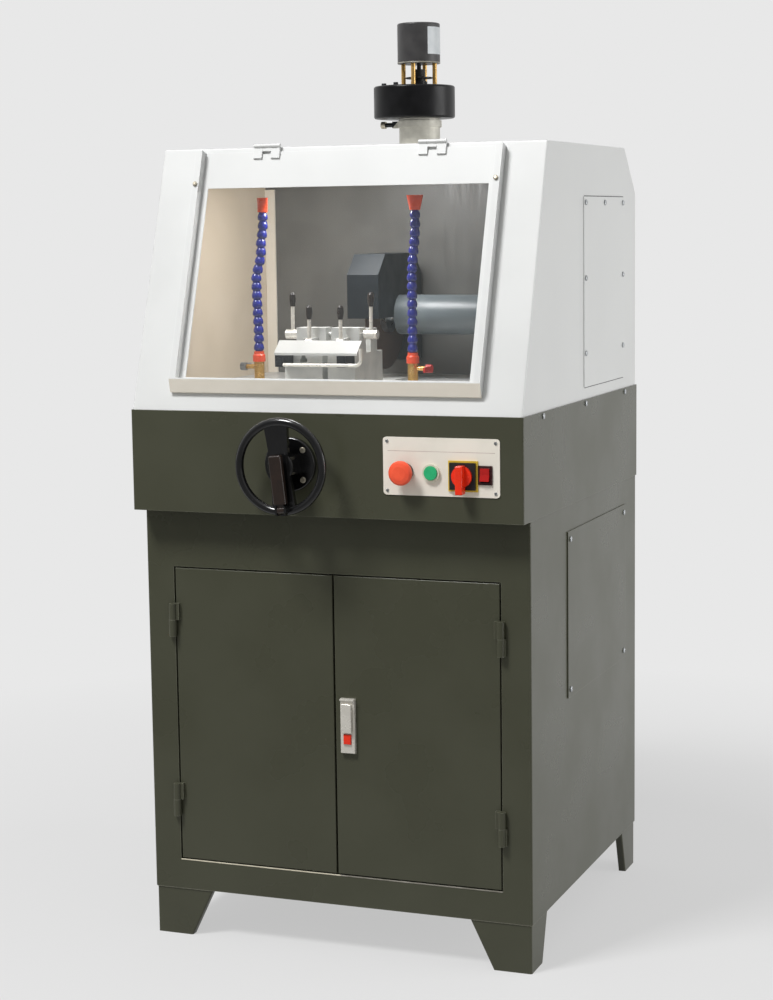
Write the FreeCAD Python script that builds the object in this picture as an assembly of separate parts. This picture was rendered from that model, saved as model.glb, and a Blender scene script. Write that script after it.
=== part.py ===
import FreeCAD
import Part
import math
import os

V = FreeCAD.Vector
ORIGIN = V(0, 0, 0)
X_AXIS = V(1, 0, 0)
Y_AXIS = V(0, 1, 0)
Z_AXIS = V(0, 0, 1)

# Clearances
RUN_FIT = 0.05  # radial play of a shaft, pin or rod in its bore
CLEAR = 0.3  # gap between pieces that pass one another
NEST = 0.5  # gap between nested sheet walls
SEAM = 0.1  # gap between sheets that are welded edge to edge
HOLE_PLAY = 0.1  # radial play of a fastener or fitting in its hole
PASS = 4.0  # room round a pipe or belt that passes through a plate

# Sheet-metal shells
SHEET = 2.0
FOLD_R = 3.0
CASE_W = 700.0
CASE_D = 712.0
CASE_H = 172.0
CAB_H = 676.0
CAB_STEP = 2.0  # cabinet walls stand inside the feed case walls by this much
CAB_SETBACK = 41.0  # cabinet front behind the feed case front
CAB_FLANGE = 30.0  # inward flange along the cabinet's upper edge
HOOD_H = 440.0
HOOD_LEAN = 146.0  # run of the leaning front
HOOD_CHAMFER_D = 79.0
HOOD_CHAMFER_H = 82.0
SKIRT_H = 20.0  # hood wall reaching down inside the feed case

# Feet
FOOT_H = 84.0
FOOT_TOP_W = 108.0
FOOT_TOP_D = 91.0
FOOT_LOW_W = 67.0
FOOT_LOW_D = 62.0
FOOT_INSET = 2.0
FOOT_WALL = 3.0
FOOT_RETURN = 13.0  # folded edge of a foot's open sides

# Pan-head screws
SCREW_R = 2.5
SCREW_L = 9.0
HEAD_R = 5.0
HEAD_H = 2.6

# Cabinet doors and their lift-off hinges
DOOR_OPEN_W = 594.0
DOOR_OPEN_H = 521.0
DOOR_SILL = 53.0  # opening above the cabinet's bottom
DOOR_GAP = 2.5
DOOR_MEET = 3.0
DOOR_T = 18.0
DOOR_R = 1.5
DOOR_REST = 1.0  # room between a door's back and the stop lip
STOP_LIP = 10.0
HINGE_R = 6.5
HINGE_PIN_R = 3.5
HINGE_KNUCKLE = 29.0
HINGE_TAB = 8.0
HINGE_AXIS_IN = 1.0  # hinge axis outside the opening's edge
HINGE_HEIGHTS = (109.0, 428.0)  # hinge centres above the opening's lower edge

# Lever lock on the right door
LOCK_W = 26.0
LOCK_H = 94.0
LOCK_T = 7.0
LOCK_EDGE = 11.0  # lock plate from the door's free edge
LOCK_UP = 263.0  # lock centre above the opening's lower edge
LOCK_LEVER_W = 18.0
LOCK_LEVER_L = 50.0
LOCK_LEVER_T = 6.0
LOCK_SPINDLE_R = 6.0
LOCK_SPINDLE_UP = 30.0
LOCK_CAM_L = 44.0
LOCK_CAM_W = 14.0
LOCK_CAM_T = 3.0
LOCK_BUTTON_W = 13.5
LOCK_BUTTON_H = 17.0
LOCK_BUTTON_OUT = 3.0
LOCK_BUTTON_DROP = 22.5
LOCK_BUTTON_TRAVEL = 2.5

# Access panel on the cabinet's right side and cover plate on the hood's right side
PANEL_T = 2.0
PANEL_D = 381.0
PANEL_H = 290.0
PANEL_BACK = 249.0  # panel's front edge behind the feed case front
PANEL_UP = 340.0
PANEL_LAP = 25.0  # panel reaching past the opening that it covers
PANEL_SCREW_IN = 14.0
PLATE_T = 1.5
PLATE_D = 266.0
PLATE_H = 329.0
PLATE_BACK = 355.0
PLATE_UP = 21.0
PLATE_LAP = 22.0
PLATE_SCREW_IN = 10.0
PLATE_ROW = 130.0  # spacing of the rows of screws down the plate
HOOD_SCREW_DROP = 7.0
HOOD_SCREW_BACKS = (107.0, 360.0, 622.0)

# Rear cover and cable gland
COVER_W = 520.0
COVER_H = 480.0
COVER_UP = 120.0
COVER_T = 1.5
COVER_LAP = 20.0
COVER_SCREW_IN = 10.0
LOUVRE_W = 130.0
LOUVRE_H = 6.0
LOUVRE_STEP = 18.0
LOUVRE_ROWS = 9
LOUVRE_COLS = 2
GLAND_X = 295.0
GLAND_UP = 60.0
GLAND_R = 11.0
GLAND_BORE_R = 5.0
GLAND_THREAD_R = 8.0
GLAND_OUT = 16.0
GLAND_IN = 8.0

# Lift-up window on the leaning front, measured up the slope from the hood's lower edge
WIN_HALF = 277.0
WIN_LOW = 30.0
WIN_TOP_GAP = 9.0  # window's upper edge below the hood's upper edge
RIM_W = 12.0
RIM_H = 19.0
LIP_H = 22.0
LIP_FOOT = 7.0  # lip's depth at its lower edge
PANE_HALF = 254.0
PANE_LOW = 57.0
PANE_H = 334.0
PANE_T = 4.0
PANE_LAP = 7.0  # pane reaching behind the window sheet
HOOD_LAP = 9.0  # window sheet reaching past the hood's opening
WIN_STANDOFF = 0.6  # window sheet in front of the hood's face
WIN_HINGE_X = 150.0
WIN_HINGE_R = 3.5
WIN_PIN_R = 1.6
WIN_KNUCKLE = 16.0
WIN_HINGE_OUT = 6.0  # hinge axis in front of the hood's face
WIN_HINGE_UP = 0.5  # hinge axis above the hood's upper edge
STUD_R = 4.0
STUD_H = 4.0
STUD_UP = 394.0

# Control plate and its switches, placed from the plate's centre
CTRL_W = 200.0
CTRL_H = 95.0
CTRL_T = 1.5
CTRL_R = 6.0
CTRL_IN = 139.5  # plate's centre in from the feed case's right wall
CTRL_UP = 89.2
RIVET_R = 3.0
RIVET_H = 1.5
RIVET_IN = 7.0
BARREL_R = 11.0
BARREL_WALL = 2.5
BARREL_IN = 14.0
CONTACT_W = 30.0
CONTACT_D = 38.0
STOP_X = -62.5
STOP_UP = -9.4
STOP_R = 20.0
STOP_CAP_T = 13.0
STOP_OUT = 29.0
STOP_TRAVEL = 5.0
STOP_COLLAR_R = 15.0
COLLAR_T = 5.0
START_X = -16.2
START_UP = -9.6
START_R = 11.6
START_BEZEL_R = 14.5
START_OUT = 7.0
START_TRAVEL = 3.0
ISO_X = 38.2
ISO_UP = -13.5
ISO_FRAME = 50.0
ISO_FRAME_T = 2.5
ISO_FACE = 44.0
ISO_FACE_T = 4.0
ISO_HANDLE_R = 17.0
ISO_DISC_T = 5.0
ISO_GRIP_W = 12.0
ISO_GRIP_H = 14.0
ISO_NOSE = 18.5  # grip's reach above its axis
ISO_TAIL = 28.0  # grip's reach below its axis
ROCKER_X = 75.5
ROCKER_UP = -11.2
ROCKER_W = 24.0
ROCKER_H = 31.0
ROCKER_RIM = 3.0
ROCKER_RIM_T = 2.5
ROCKER_SWING = 16.0  # degrees from one side to the other
ROCKER_OUT = 3.5
ROCKER_DEPTH = 12.0
ROCKER_WALL = 1.0
ROCKER_PIN_R = 1.0
ROCKER_PIVOT_IN = 1.5  # rocker's axis behind the feed case front

# Handwheel, lead screw and guides
FEED_X = -53.0
FEED_UP = 87.0  # feed axis above the feed case's bottom
DIAL_R = 45.0
DIAL_T = 10.0
DIAL_SCREW_R = 35.0
DIAL_SCREWS = 4
HUB_R = 23.0
HUB_L = 38.0
RIM_R = 74.0
RIM_TUBE = 7.0
RIM_OUT = 35.0  # rim's plane in front of the hub's back
SPOKE_HUB_W = 30.0
SPOKE_RIM_W = 42.0
SPOKE_T = 9.0
GRIP_L = 91.0
GRIP_W = 22.0
GRIP_T = 13.0
GRIP_EYE_R = 6.0
GRIP_PIN_R = 3.0
GRIP_EYE_W = 12.0
GRIP_BOSS_R = 10.5
GRIP_TILT = 2.0  # degrees that the grip stands off the wheel at rest
GRIP_PIVOT_R = 70.0
WHEEL_REST = 5.5  # degrees that the handwheel stands turned at rest
SCREW_SHAFT_R = 8.0
LEAD_R = 10.0
LEAD_L = 470.0
GUIDE_R = 10.0
GUIDE_SPREAD = 85.0
GUIDE_BACK = 40.0
GUIDE_L = 452.0
BRACKET_T = 12.0
BRACKET_SIDE = 26.0  # bracket reaching past a guide's centre
BRACKET_TOP = 30.0

# Carriage and slotted vise table
FEED_TRAVEL = 150.0
TABLE_BACK = 150.0  # table's front behind the feed case front
TABLE_L = 130.0
TABLE_UP = 88.0  # table's top above the hood's lower edge
TABLE_H = 57.0
TABLE_LEFT = 75.0  # table's left edge from the cutting plane
TABLE_RIGHT = 55.0
TABLE_SLOT = 10.0
TEE_MOUTH = 8.0
TEE_MOUTH_D = 8.0
TEE_W = 14.0
TEE_D = 7.0
CARRIAGE_L = 90.0
CARRIAGE_BACK = 165.0
CARRIAGE_H = 44.0
CARRIAGE_DROP = 22.0
POST_W = 78.0
APRON_T = 3.5
APRON_L = 260.0
NUT_R = 18.0
NUT_L = 40.0
CLAMP_BACK = 168.0
CLAMP_T = 30.0
CLAMP_H = 44.0
CLAMP_LEFT = 60.0
CLAMP_RIGHT = 57.0
JAW_BACK = 225.0
JAW_T = 30.0
JAW_H = 40.0
BAR_BACK = 108.0
BAR_D = 25.0
BAR_H = 24.0
BAR_FOOT_H = 4.0
BAR_HALF = 76.0
BAR_ARM_W = 16.0
BAR_ARM_H = 20.0
BEND_R = 3.0
BEND_DROP = 16.0
BEND_LEFT = 58.0
BEND_RIGHT = 84.0
BEND_RISE = 28.0
BEND_CORNER = 9.0
AXLE_R = 4.0
AXLE_UP = 32.0
LEVER_ARM_R = 3.2
LEVER_KNOB_R = 6.0
LEVER_KNOB_H = 24.0
OUTER_LEVER_X = 73.0  # outer levers from the cutting plane
OUTER_LEVER_L = 72.0
OUTER_HUB_R = 8.0
OUTER_HUB_W = 24.0
INNER_LEVER_X = 29.0
INNER_LEVER_L = 63.0
INNER_LEVER_BACK = 152.0
INNER_PIVOT_UP = 20.0
INNER_HUB_R = 7.0
INNER_HUB_W = 12.0
INNER_PIN_R = 3.0
LUG_T = 4.0

# Wheel, spindle and guard
WHEEL_R = 100.0
WHEEL_T = 2.0
SPINDLE_BACK = 440.0
SPINDLE_UP = 143.0  # spindle above the hood's lower edge
SPINDLE_R = 12.5
FLANGE_R = 32.0
FLANGE_T = 11.0
SPINDLE_NUT_R = 17.0
SPINDLE_NUT_T = 15.0
SPINDLE_END = 3.0
HOUSING_R = 36.0
HOUSING_FLANGE_R = 56.0
HOUSING_FLANGE_T = 12.0
BEARING_R = 26.0
BEARING_W = 16.0
GUARD_HALF = 30.0
GUARD_ROOM = 9.0  # wheel's rim to the guard's inside
GUARD_CHAMFER = 36.0
GUARD_FRONT_LOW = 3.0  # guard's front edge below the spindle
GUARD_REAR_LOW = 90.0
GUARD_HOLE_R = 45.0
SHAFT_HOLE_R = 18.0

# Belt drive and motor
WALL_X = 222.0
WALL_T = 6.0
WALL_FRONT = 60.0  # belt guard in front of the spindle's pulley
BELT_X = 275.0
BELT_W = 13.0
BELT_T = 8.0
SPINDLE_PULLEY_R = 55.0
MOTOR_PULLEY_R = 50.0
PULLEY_W = 24.0
PULLEY_LIP = 3.0  # belt's outer face inside the pulley's rim
MOTOR_DROP = 515.0
MOTOR_R = 92.0
MOTOR_L = 240.0
MOTOR_GAP = 40.0  # motor's end to the belt's middle
COWL_L = 66.0
MOTOR_SHAFT_R = 14.0
MOTOR_FOOT_H = 112.0
MOTOR_FOOT_W = 160.0
MOTOR_FOOT_L = 170.0
MOTOR_BOX = 90.0
MOTOR_BOX_H = 46.0
SHELF_T = 4.0
SHELF_L = 340.0
SHELF_BACK = 290.0
SHELF_LIP = 30.0

# Chamber tray and splash panel
TRAY_UP = 25.0
TRAY_T = 1.5
TRAY_RIM = 18.0
TRAY_FRONT = 18.0
TRAY_LAP = 12.0  # tray reaching behind the splash panel
SLOT_ROOM = 8.0
SPLASH_BACK = 564.0
SPLASH_T = 1.5
SPLASH_H = 400.0
STRIP_W = 20.0
STRIP_T = 4.0
STRIP_H = 350.0

# Coolant tank, pump, pipes, valves and segmented hoses
TANK_W = 525.0
TANK_D = 400.0
TANK_H = 230.0
TANK_WALL = 3.0
TANK_LEFT = 330.0
TANK_BACK = 101.0
TANK_PORT = 110.0
HOSE_BACK = 195.0
HOSE_SPREAD = 144.0
PUMP_R = 52.0
PUMP_H = 150.0
PUMP_FLANGE_R = 66.0
PUMP_FLANGE_T = 8.0
PUMP_TUBE_R = 34.0
PUMP_TUBE_L = 170.0
PUMP_OFFSET = 58.0
PIPE_R = 8.0
PIPE_WALL = 1.5
PIPE_DROP = 32.0  # cross pipe below the tray
PIPE_FRONT = 130.0
DRAIN_X = 130.0
DRAIN_BACK = 262.0
DRAIN_R = 18.0
DRAIN_DIP = 20.0
VALVE_R = 9.0
VALVE_H = 46.0
VALVE_NUT_R = 13.0
VALVE_NUT_H = 12.0
VALVE_STEM_R = 4.0
VALVE_STEM_L = 22.0
VALVE_STEM_UP = 37.0
VALVE_LEVER_L = 34.0
VALVE_LEVER_W = 9.0
VALVE_LEVER_T = 3.5
VALVE_LEVER_R = 7.0
LINK_R = 9.0
LINK_WAIST_R = 6.4
LINK_BORE_R = 4.0
LINK_PITCH = 15.1
LINK_COUNT = 16
HOSE_LEANS = {
    -1: ((0.08, 0.0), (0.5, -2.5), (0.72, 7.0), (0.93, 12.0)),
    1: ((0.5, 0.0), (0.93, 7.0)),
}  # sideways lean of the left and right hose at shares of its height
ADAPTER_R = 11.0
ADAPTER_H = 18.0
NOZZLE_W = 30.0
NOZZLE_T = 10.0
NOZZLE_H = 25.0
NOZZLE_WALL = 1.5
NOZZLE_TURNS = {-1: -31.0, 1: 0.0}  # turn of the left and right nozzle about its hose

# Extraction fan on the hood
FAN_X = 8.7
FAN_BACK = 465.0
DUCT_R = 37.0
DUCT_H = 56.0
DUCT_WALL = 1.5
DUCT_FOOT_R = 46.0
DUCT_FOOT_T = 3.0
BAND_H = 12.0
BAND_T = 3.0
BAND_DROP = 4.0
BAND_BOLT_R = 4.0
BAND_BOLT_L = 37.0
BAND_HEAD_R = 6.5
BAND_HEAD_L = 9.0
BAND_LUG = 11.0
VOLUTE_R = 73.5
VOLUTE_H = 58.0
VOLUTE_WALL = 3.0
VOLUTE_SHIFT = 9.5
VOLUTE_R_EDGE = 4.0
OUTLET_R = 25.0
OUTLET_L = 44.0
OUTLET_COLLAR_R = 27.5
OUTLET_COLLAR_L = 8.0
STANDOFF_R = 4.0
STANDOFF_H = 39.0
STANDOFF_RING_R = 30.0
STANDOFFS = 4
FAN_MOTOR_R = 38.5
FAN_MOTOR_H = 72.0
FAN_MOTOR_EDGE = 3.0
FAN_SHAFT_R = 4.0
FAN_SHAFT_IN = 14.0
IMPELLER_R = 57.0
IMPELLER_T = 3.0
BLADE_H = 34.0
BLADE_T = 2.0
BLADE_IN_R = 34.0
BLADES = 12
COUPLING_R = 11.0
COUPLING_H = 20.0

# Electrical plate on the cabinet's left wall
ELEC_T = 3.0
ELEC_D = 260.0
ELEC_H = 220.0
ELEC_BACK = 340.0
ELEC_UP = 400.0
DEVICE_W = 52.0
DEVICE_H = 86.0
DEVICE_D = 74.0
DEVICE_STEP = 70.0
DEVICES = 3

# Levels and planes that follow from the sizes above
CAB_Z = FOOT_H
CASE_Z = CAB_Z + CAB_H
HOOD_Z = CASE_Z + CASE_H
TOP_Z = HOOD_Z + HOOD_H
GRIP_PIVOT_OUT = RIM_OUT + RIM_TUBE + GRIP_EYE_R + 1.0
FRONT_REACH = (
    DIAL_T
    + NEST
    + GRIP_PIVOT_OUT
    + GRIP_L * math.sin(math.radians(GRIP_TILT))
    + GRIP_T / 2 * math.cos(math.radians(GRIP_TILT))
)
REAR_REACH = GLAND_OUT - CAB_STEP
FRONT = -(CASE_D + REAR_REACH - FRONT_REACH) / 2
BACK = FRONT + CASE_D
CASE_X = CASE_W / 2
CAB_X = CASE_X - CAB_STEP
CAB_FRONT = FRONT + CAB_SETBACK
CAB_BACK = BACK - CAB_STEP
HOOD_X = CASE_X - SHEET - NEST
HOOD_FRONT = FRONT + SHEET + NEST
HOOD_BACK = BACK - SHEET - NEST
LEAN_DEG = math.degrees(math.atan2(HOOD_LEAN, HOOD_H))
SLOPE_L = math.hypot(HOOD_LEAN, HOOD_H)
OPEN_X = DOOR_OPEN_W / 2
OPEN_Z = CAB_Z + DOOR_SILL
OPEN_TOP = OPEN_Z + DOOR_OPEN_H
HINGE_X = OPEN_X + HINGE_AXIS_IN
HINGE_Y = CAB_FRONT - HINGE_R
LOCK_X = DOOR_MEET / 2 + LOCK_EDGE + LOCK_W / 2
LOCK_Z = OPEN_Z + LOCK_UP
WIN_TOP = SLOPE_L - WIN_TOP_GAP
CTRL_X = CASE_X - CTRL_IN
CTRL_Z = CASE_Z + CTRL_UP
FEED_Z = CASE_Z + FEED_UP
CUT_X = FEED_X
WHEEL_BASE = FRONT - DIAL_T - NEST
TABLE_Z = HOOD_Z + TABLE_UP
TRAY_Z = HOOD_Z + TRAY_UP
SPINDLE_Z = HOOD_Z + SPINDLE_UP
SPINDLE_Y = FRONT + SPINDLE_BACK
MOTOR_Z = SPINDLE_Z - MOTOR_DROP
SHELF_Z = MOTOR_Z - MOTOR_FOOT_H
SPLASH_Y = FRONT + SPLASH_BACK
HOSE_Y = FRONT + HOSE_BACK
HOSE_Z = TRAY_Z + VALVE_H + ADAPTER_H
HOSE_TOP = HOSE_Z + LINK_PITCH * LINK_COUNT
TANK_TOP = CAB_Z + SHEET + TANK_H
FAN_Y = FRONT + FAN_BACK
VOLUTE_Z = TOP_Z + DUCT_H
FAN_MOTOR_Z = VOLUTE_Z + VOLUTE_H + STANDOFF_H
AXLE_Y = FRONT + CLAMP_BACK + CLAMP_T / 2
AXLE_Z = TABLE_Z + AXLE_UP
INNER_Y = FRONT + INNER_LEVER_BACK
INNER_Z = TABLE_Z + INNER_PIVOT_UP


# Plain solids


def block(x0, x1, y0, y1, z0, z1):
    """Box between two corners."""
    return Part.makeBox(x1 - x0, y1 - y0, z1 - z0, V(x0, y0, z0))


def rod(start, axis, radius, length):
    """Cylinder from a point along an axis."""
    return Part.makeCylinder(radius, length, start, axis)


def tube(start, axis, radius, bore, length):
    """Hollow cylinder from a point along an axis."""
    return rod(start, axis, radius, length).cut(rod(start, axis, bore, length))


def fused(shapes):
    """One solid from pieces that overlap or share faces."""
    whole = shapes[0]
    for shape in shapes[1:]:
        whole = whole.fuse(shape)
    return whole.removeSplitter()


def cut_all(shape, tools):
    """Shape with every tool cut from it."""
    for tool in tools:
        shape = shape.cut(tool)
    return shape


def group(shapes):
    """Separate solids that share a node."""
    return Part.makeCompound(shapes)


def extrude(points, step):
    """Prism of a closed outline along a vector."""
    return Part.Face(Part.makePolygon(points + points[:1])).extrude(step)


def frustum(low, high):
    """Flat-sided solid between two rings of four corners, both counter-clockwise from above."""
    rings = [low[::-1], high]
    for i in range(4):
        j = (i + 1) % 4
        rings.append([low[i], low[j], high[j], high[i]])
    faces = [Part.Face(Part.makePolygon(ring + ring[:1])) for ring in rings]
    return Part.Solid(Part.Shell(faces))


def side_prism(outline, x0, x1):
    """Prism of a (y, z) outline between two planes across the machine."""
    return extrude([V(x0, y, z) for y, z in outline], V(x1 - x0, 0, 0))


def turned(outline, origin, axis):
    """Solid of revolution of a (radius, height) outline about an axis."""
    points = [V(r, 0, h) for r, h in outline]
    face = Part.Face(Part.makePolygon(points + points[:1]))
    solid = face.revolve(ORIGIN, Z_AXIS, 360)
    solid.Placement = FreeCAD.Placement(origin, FreeCAD.Rotation(Z_AXIS, axis))
    return solid


def rounded(solid, radius, wanted):
    """Solid with a fillet on the edges that a test picks."""
    return solid.makeFillet(radius, [edge for edge in solid.Edges if wanted(edge)])


def is_upright(edge):
    """Whether an edge runs straight up."""
    ends = [vertex.Point for vertex in edge.Vertexes]
    span = ends[-1] - ends[0]
    return abs(span.x) < 1e-6 and abs(span.y) < 1e-6


def outward_front(shape, x, y, z):
    """Shape drawn facing +Z, turned to face the front at a point."""
    placed = shape.copy()
    placed.rotate(ORIGIN, X_AXIS, 90)
    placed.translate(V(x, y, z))
    return placed


def on_slope(shape):
    """Shape drawn upright at the origin, laid on the hood's leaning front."""
    placed = shape.copy()
    placed.rotate(ORIGIN, X_AXIS, -LEAN_DEG)
    placed.translate(V(0, HOOD_FRONT, HOOD_Z))
    return placed


def slope_block(x0, x1, out0, out1, up0, up1):
    """Upright box for the leaning front: across, out from the face, up the slope."""
    return block(x0, x1, -out1, -out0, up0, up1)


def inset(outline, depth):
    """Convex outline, counter-clockwise, with every edge moved inward by a depth."""
    lines = []
    for (ay, az), (by, bz) in zip(outline, outline[1:] + outline[:1]):
        length = math.hypot(by - ay, bz - az)
        ny = -(bz - az) / length
        nz = (by - ay) / length
        lines.append((ny, nz, ny * ay + nz * az + depth))
    corners = []
    for (n1y, n1z, c1), (n2y, n2z, c2) in zip(lines[-1:] + lines[:-1], lines):
        det = n1y * n2z - n1z * n2y
        corners.append(((c1 * n2z - c2 * n1z) / det, (n1y * c2 - n2y * c1) / det))
    return corners


# Fasteners


def screw(seat):
    """Domed screw with its shank behind the face that its head sits on."""
    point, axis = seat
    head = [
        (0, -SCREW_L),
        (SCREW_R, -SCREW_L),
        (SCREW_R, 0),
        (HEAD_R, 0),
        (HEAD_R, HEAD_H / 2),
        (HEAD_R * 0.7, HEAD_H),
        (0, HEAD_H),
    ]
    return turned(head, point, axis)


def drilled(shape, seats):
    """Shape with a clearance hole for every screw."""
    holes = [rod(p - a * 2 * SCREW_L, a, SCREW_R + HOLE_PLAY, 3 * SCREW_L) for p, a in seats]
    return cut_all(shape, holes)


def panel_seats():
    """Corner screws of the cabinet's access panel."""
    y0 = FRONT + PANEL_BACK + PANEL_SCREW_IN
    y1 = FRONT + PANEL_BACK + PANEL_D - PANEL_SCREW_IN
    z0 = CAB_Z + PANEL_UP + PANEL_SCREW_IN
    z1 = CAB_Z + PANEL_UP + PANEL_H - PANEL_SCREW_IN
    return [(V(CAB_X + PANEL_T, y, z), X_AXIS) for y in (y0, y1) for z in (z0, z1)]


def plate_seats():
    """Screws round the hood's cover plate: three rows, with one more in the top row."""
    y0 = FRONT + PLATE_BACK + PLATE_SCREW_IN
    y1 = FRONT + PLATE_BACK + PLATE_D - PLATE_SCREW_IN
    top = HOOD_Z + PLATE_UP + PLATE_H - PLATE_SCREW_IN
    spots = [(y, top - row * PLATE_ROW) for y in (y0, y1) for row in range(3)]
    spots.append(((y0 + y1) / 2, top))
    return [(V(HOOD_X + PLATE_T, y, z), X_AXIS) for y, z in spots]


def hood_seats():
    """Screws along the feed case's upper edges that hold the hood's skirt."""
    z = HOOD_Z - HOOD_SCREW_DROP
    sides = ((CASE_X, X_AXIS), (-CASE_X, X_AXIS * -1))
    return [(V(x, FRONT + back, z), axis) for x, axis in sides for back in HOOD_SCREW_BACKS]


def cover_seats():
    """Screws at the corners and mid-sides of the rear cover."""
    x = COVER_W / 2 - COVER_SCREW_IN
    z0 = CAB_Z + COVER_UP + COVER_SCREW_IN
    z1 = CAB_Z + COVER_UP + COVER_H - COVER_SCREW_IN
    heights = (z0, (z0 + z1) / 2, z1)
    return [(V(side * x, CAB_BACK + COVER_T, z), Y_AXIS) for side in (-1, 1) for z in heights]


def dial_seats():
    """Screws of the handwheel's bearing flange."""
    seats = []
    for i in range(DIAL_SCREWS):
        turn = math.radians(45 + i * 360 / DIAL_SCREWS)
        x = FEED_X + DIAL_SCREW_R * math.cos(turn)
        z = FEED_Z + DIAL_SCREW_R * math.sin(turn)
        seats.append((V(x, FRONT - DIAL_T, z), Y_AXIS * -1))
    return seats


def panel_screws():
    """Every pan-head screw of the case."""
    seats = panel_seats() + plate_seats() + hood_seats() + cover_seats()
    return group([screw(seat) for seat in seats])


def dial_screws():
    """Screws of the bearing flange."""
    return group([screw(seat) for seat in dial_seats()])


# Cabinet


def door_mouth(grow, y0, y1):
    """Block through the door opening, grown on every side."""
    return block(-OPEN_X - grow, OPEN_X + grow, y0, y1, OPEN_Z - grow, OPEN_TOP + grow)


def door_jamb():
    """Folded return round the door opening with a stop lip behind the doors."""
    lip_y = CAB_FRONT + DOOR_T + DOOR_REST
    back_y = lip_y + SHEET
    walls = door_mouth(SHEET, CAB_FRONT, back_y).cut(door_mouth(0, CAB_FRONT, back_y))
    lip = door_mouth(SHEET, lip_y, back_y).cut(door_mouth(-STOP_LIP, lip_y, back_y))
    return walls.fuse(lip)


def side_opening():
    """Opening behind the access panel."""
    y0 = FRONT + PANEL_BACK + PANEL_LAP
    z0 = CAB_Z + PANEL_UP + PANEL_LAP
    y1 = y0 + PANEL_D - 2 * PANEL_LAP
    z1 = z0 + PANEL_H - 2 * PANEL_LAP
    return block(CAB_X - 2 * SHEET, CAB_X + SHEET, y0, y1, z0, z1)


def rear_opening():
    """Opening behind the rear cover."""
    x = COVER_W / 2 - COVER_LAP
    z0 = CAB_Z + COVER_UP + COVER_LAP
    z1 = CAB_Z + COVER_UP + COVER_H - COVER_LAP
    return block(-x, x, CAB_BACK - 2 * SHEET, CAB_BACK + SHEET, z0, z1)


def seam_regions():
    """Spaces that part the cabinet at its welds: base, upper flange, sides, front frame and back."""
    x = CAB_X - FOLD_R
    far = CAB_X + SHEET
    y0 = CAB_FRONT - SHEET
    y1 = CAB_BACK + SHEET
    z0 = CAB_Z + SHEET
    z1 = CASE_Z - SHEET
    front = CAB_FRONT + DOOR_T + DOOR_REST + 2 * SHEET
    return [
        block(-far, far, y0, y1, z0 - 2 * SHEET, z0),
        block(-far, far, y0, y1, z1, z1 + 2 * SHEET),
        block(-far, -x, y0, y1, z0 + SEAM, z1 - SEAM),
        block(x, far, y0, y1, z0 + SEAM, z1 - SEAM),
        block(-x + SEAM, x - SEAM, y0, front, z0 + SEAM, z1 - SEAM),
        block(-x + SEAM, x - SEAM, CAB_BACK - FOLD_R, y1, z0 + SEAM, z1 - SEAM),
    ]


def cabinet_shell():
    """Welded sheet cabinet with openings for doors, side panel and rear cover."""
    outer = block(-CAB_X, CAB_X, CAB_FRONT, CAB_BACK, CAB_Z, CASE_Z)
    outer = rounded(outer, FOLD_R, is_upright)
    x = CAB_X - SHEET
    inner = block(-x, x, CAB_FRONT + SHEET, CAB_BACK - SHEET, CAB_Z + SHEET, CASE_Z - SHEET)
    x = CAB_X - CAB_FLANGE
    y0 = CAB_FRONT + CAB_FLANGE
    y1 = CAB_BACK - CAB_FLANGE
    mouth = block(-x, x, y0, y1, CASE_Z - 2 * SHEET, CASE_Z + SHEET)
    front = door_mouth(0, CAB_FRONT - SHEET, CAB_FRONT + 2 * SHEET)
    shell = cut_all(outer, [inner, mouth, front, side_opening(), rear_opening()])
    shell = fused([shell, door_jamb()])
    gland = rod(gland_point(), Y_AXIS * -1, GLAND_THREAD_R + HOLE_PLAY, 2 * SHEET)
    shell = drilled(shell.cut(gland), panel_seats() + cover_seats())
    return group([shell.common(region).removeSplitter() for region in seam_regions()])


def foot_corner(sx, sy):
    """Outer lower corner of a foot under one corner of the cabinet."""
    x = sx * (CAB_X - FOOT_INSET)
    y = CAB_FRONT + FOOT_INSET if sy < 0 else CAB_BACK - FOOT_INSET
    return x, y


def foot_frustum(sx, sy, wall, z0, z1):
    """Tapered block of a foot between two levels, with its walls moved inward."""
    x, y = foot_corner(sx, sy)
    rings = []
    for z in (z0, z1):
        share = z / FOOT_H
        w = FOOT_LOW_W + (FOOT_TOP_W - FOOT_LOW_W) * share
        d = FOOT_LOW_D + (FOOT_TOP_D - FOOT_LOW_D) * share
        xs = sorted((x - sx * wall, x - sx * (w - wall)))
        ys = sorted((y - sy * wall, y - sy * (d - wall)))
        rings.append([V(xs[0], ys[0], z), V(xs[1], ys[0], z), V(xs[1], ys[1], z), V(xs[0], ys[1], z)])
    return frustum(rings[0], rings[1])


def cabinet_foot(sx, sy):
    """Tapered foot of folded plate on a turned-in flange; open inside, the rear feet also behind."""
    outer = rounded(foot_frustum(sx, sy, 0, 0, FOOT_H), FOLD_R, lambda edge: edge.BoundBox.ZLength > 1)
    shell = outer.cut(foot_frustum(sx, sy, FOOT_WALL, FOOT_WALL, FOOT_H))
    x, y = foot_corner(sx, sy)
    xs = sorted((x - sx * FOOT_RETURN, x - sx * 2 * FOOT_TOP_W))
    near = y - sy * FOOT_RETURN if sy < 0 else y + FOOT_WALL
    ys = sorted((near, y - sy * 2 * FOOT_TOP_D))
    return shell.cut(block(xs[0], xs[1], ys[0], ys[1], -1, FOOT_H + 1))


def cabinet_feet():
    """Four feet."""
    return group([cabinet_foot(sx, sy) for sx in (-1, 1) for sy in (-1, 1)])


def side_access_panel():
    """Flat panel over the opening on the right side."""
    y = FRONT + PANEL_BACK
    z = CAB_Z + PANEL_UP
    panel = block(CAB_X, CAB_X + PANEL_T, y, y + PANEL_D, z, z + PANEL_H)
    return drilled(panel, panel_seats())


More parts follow.
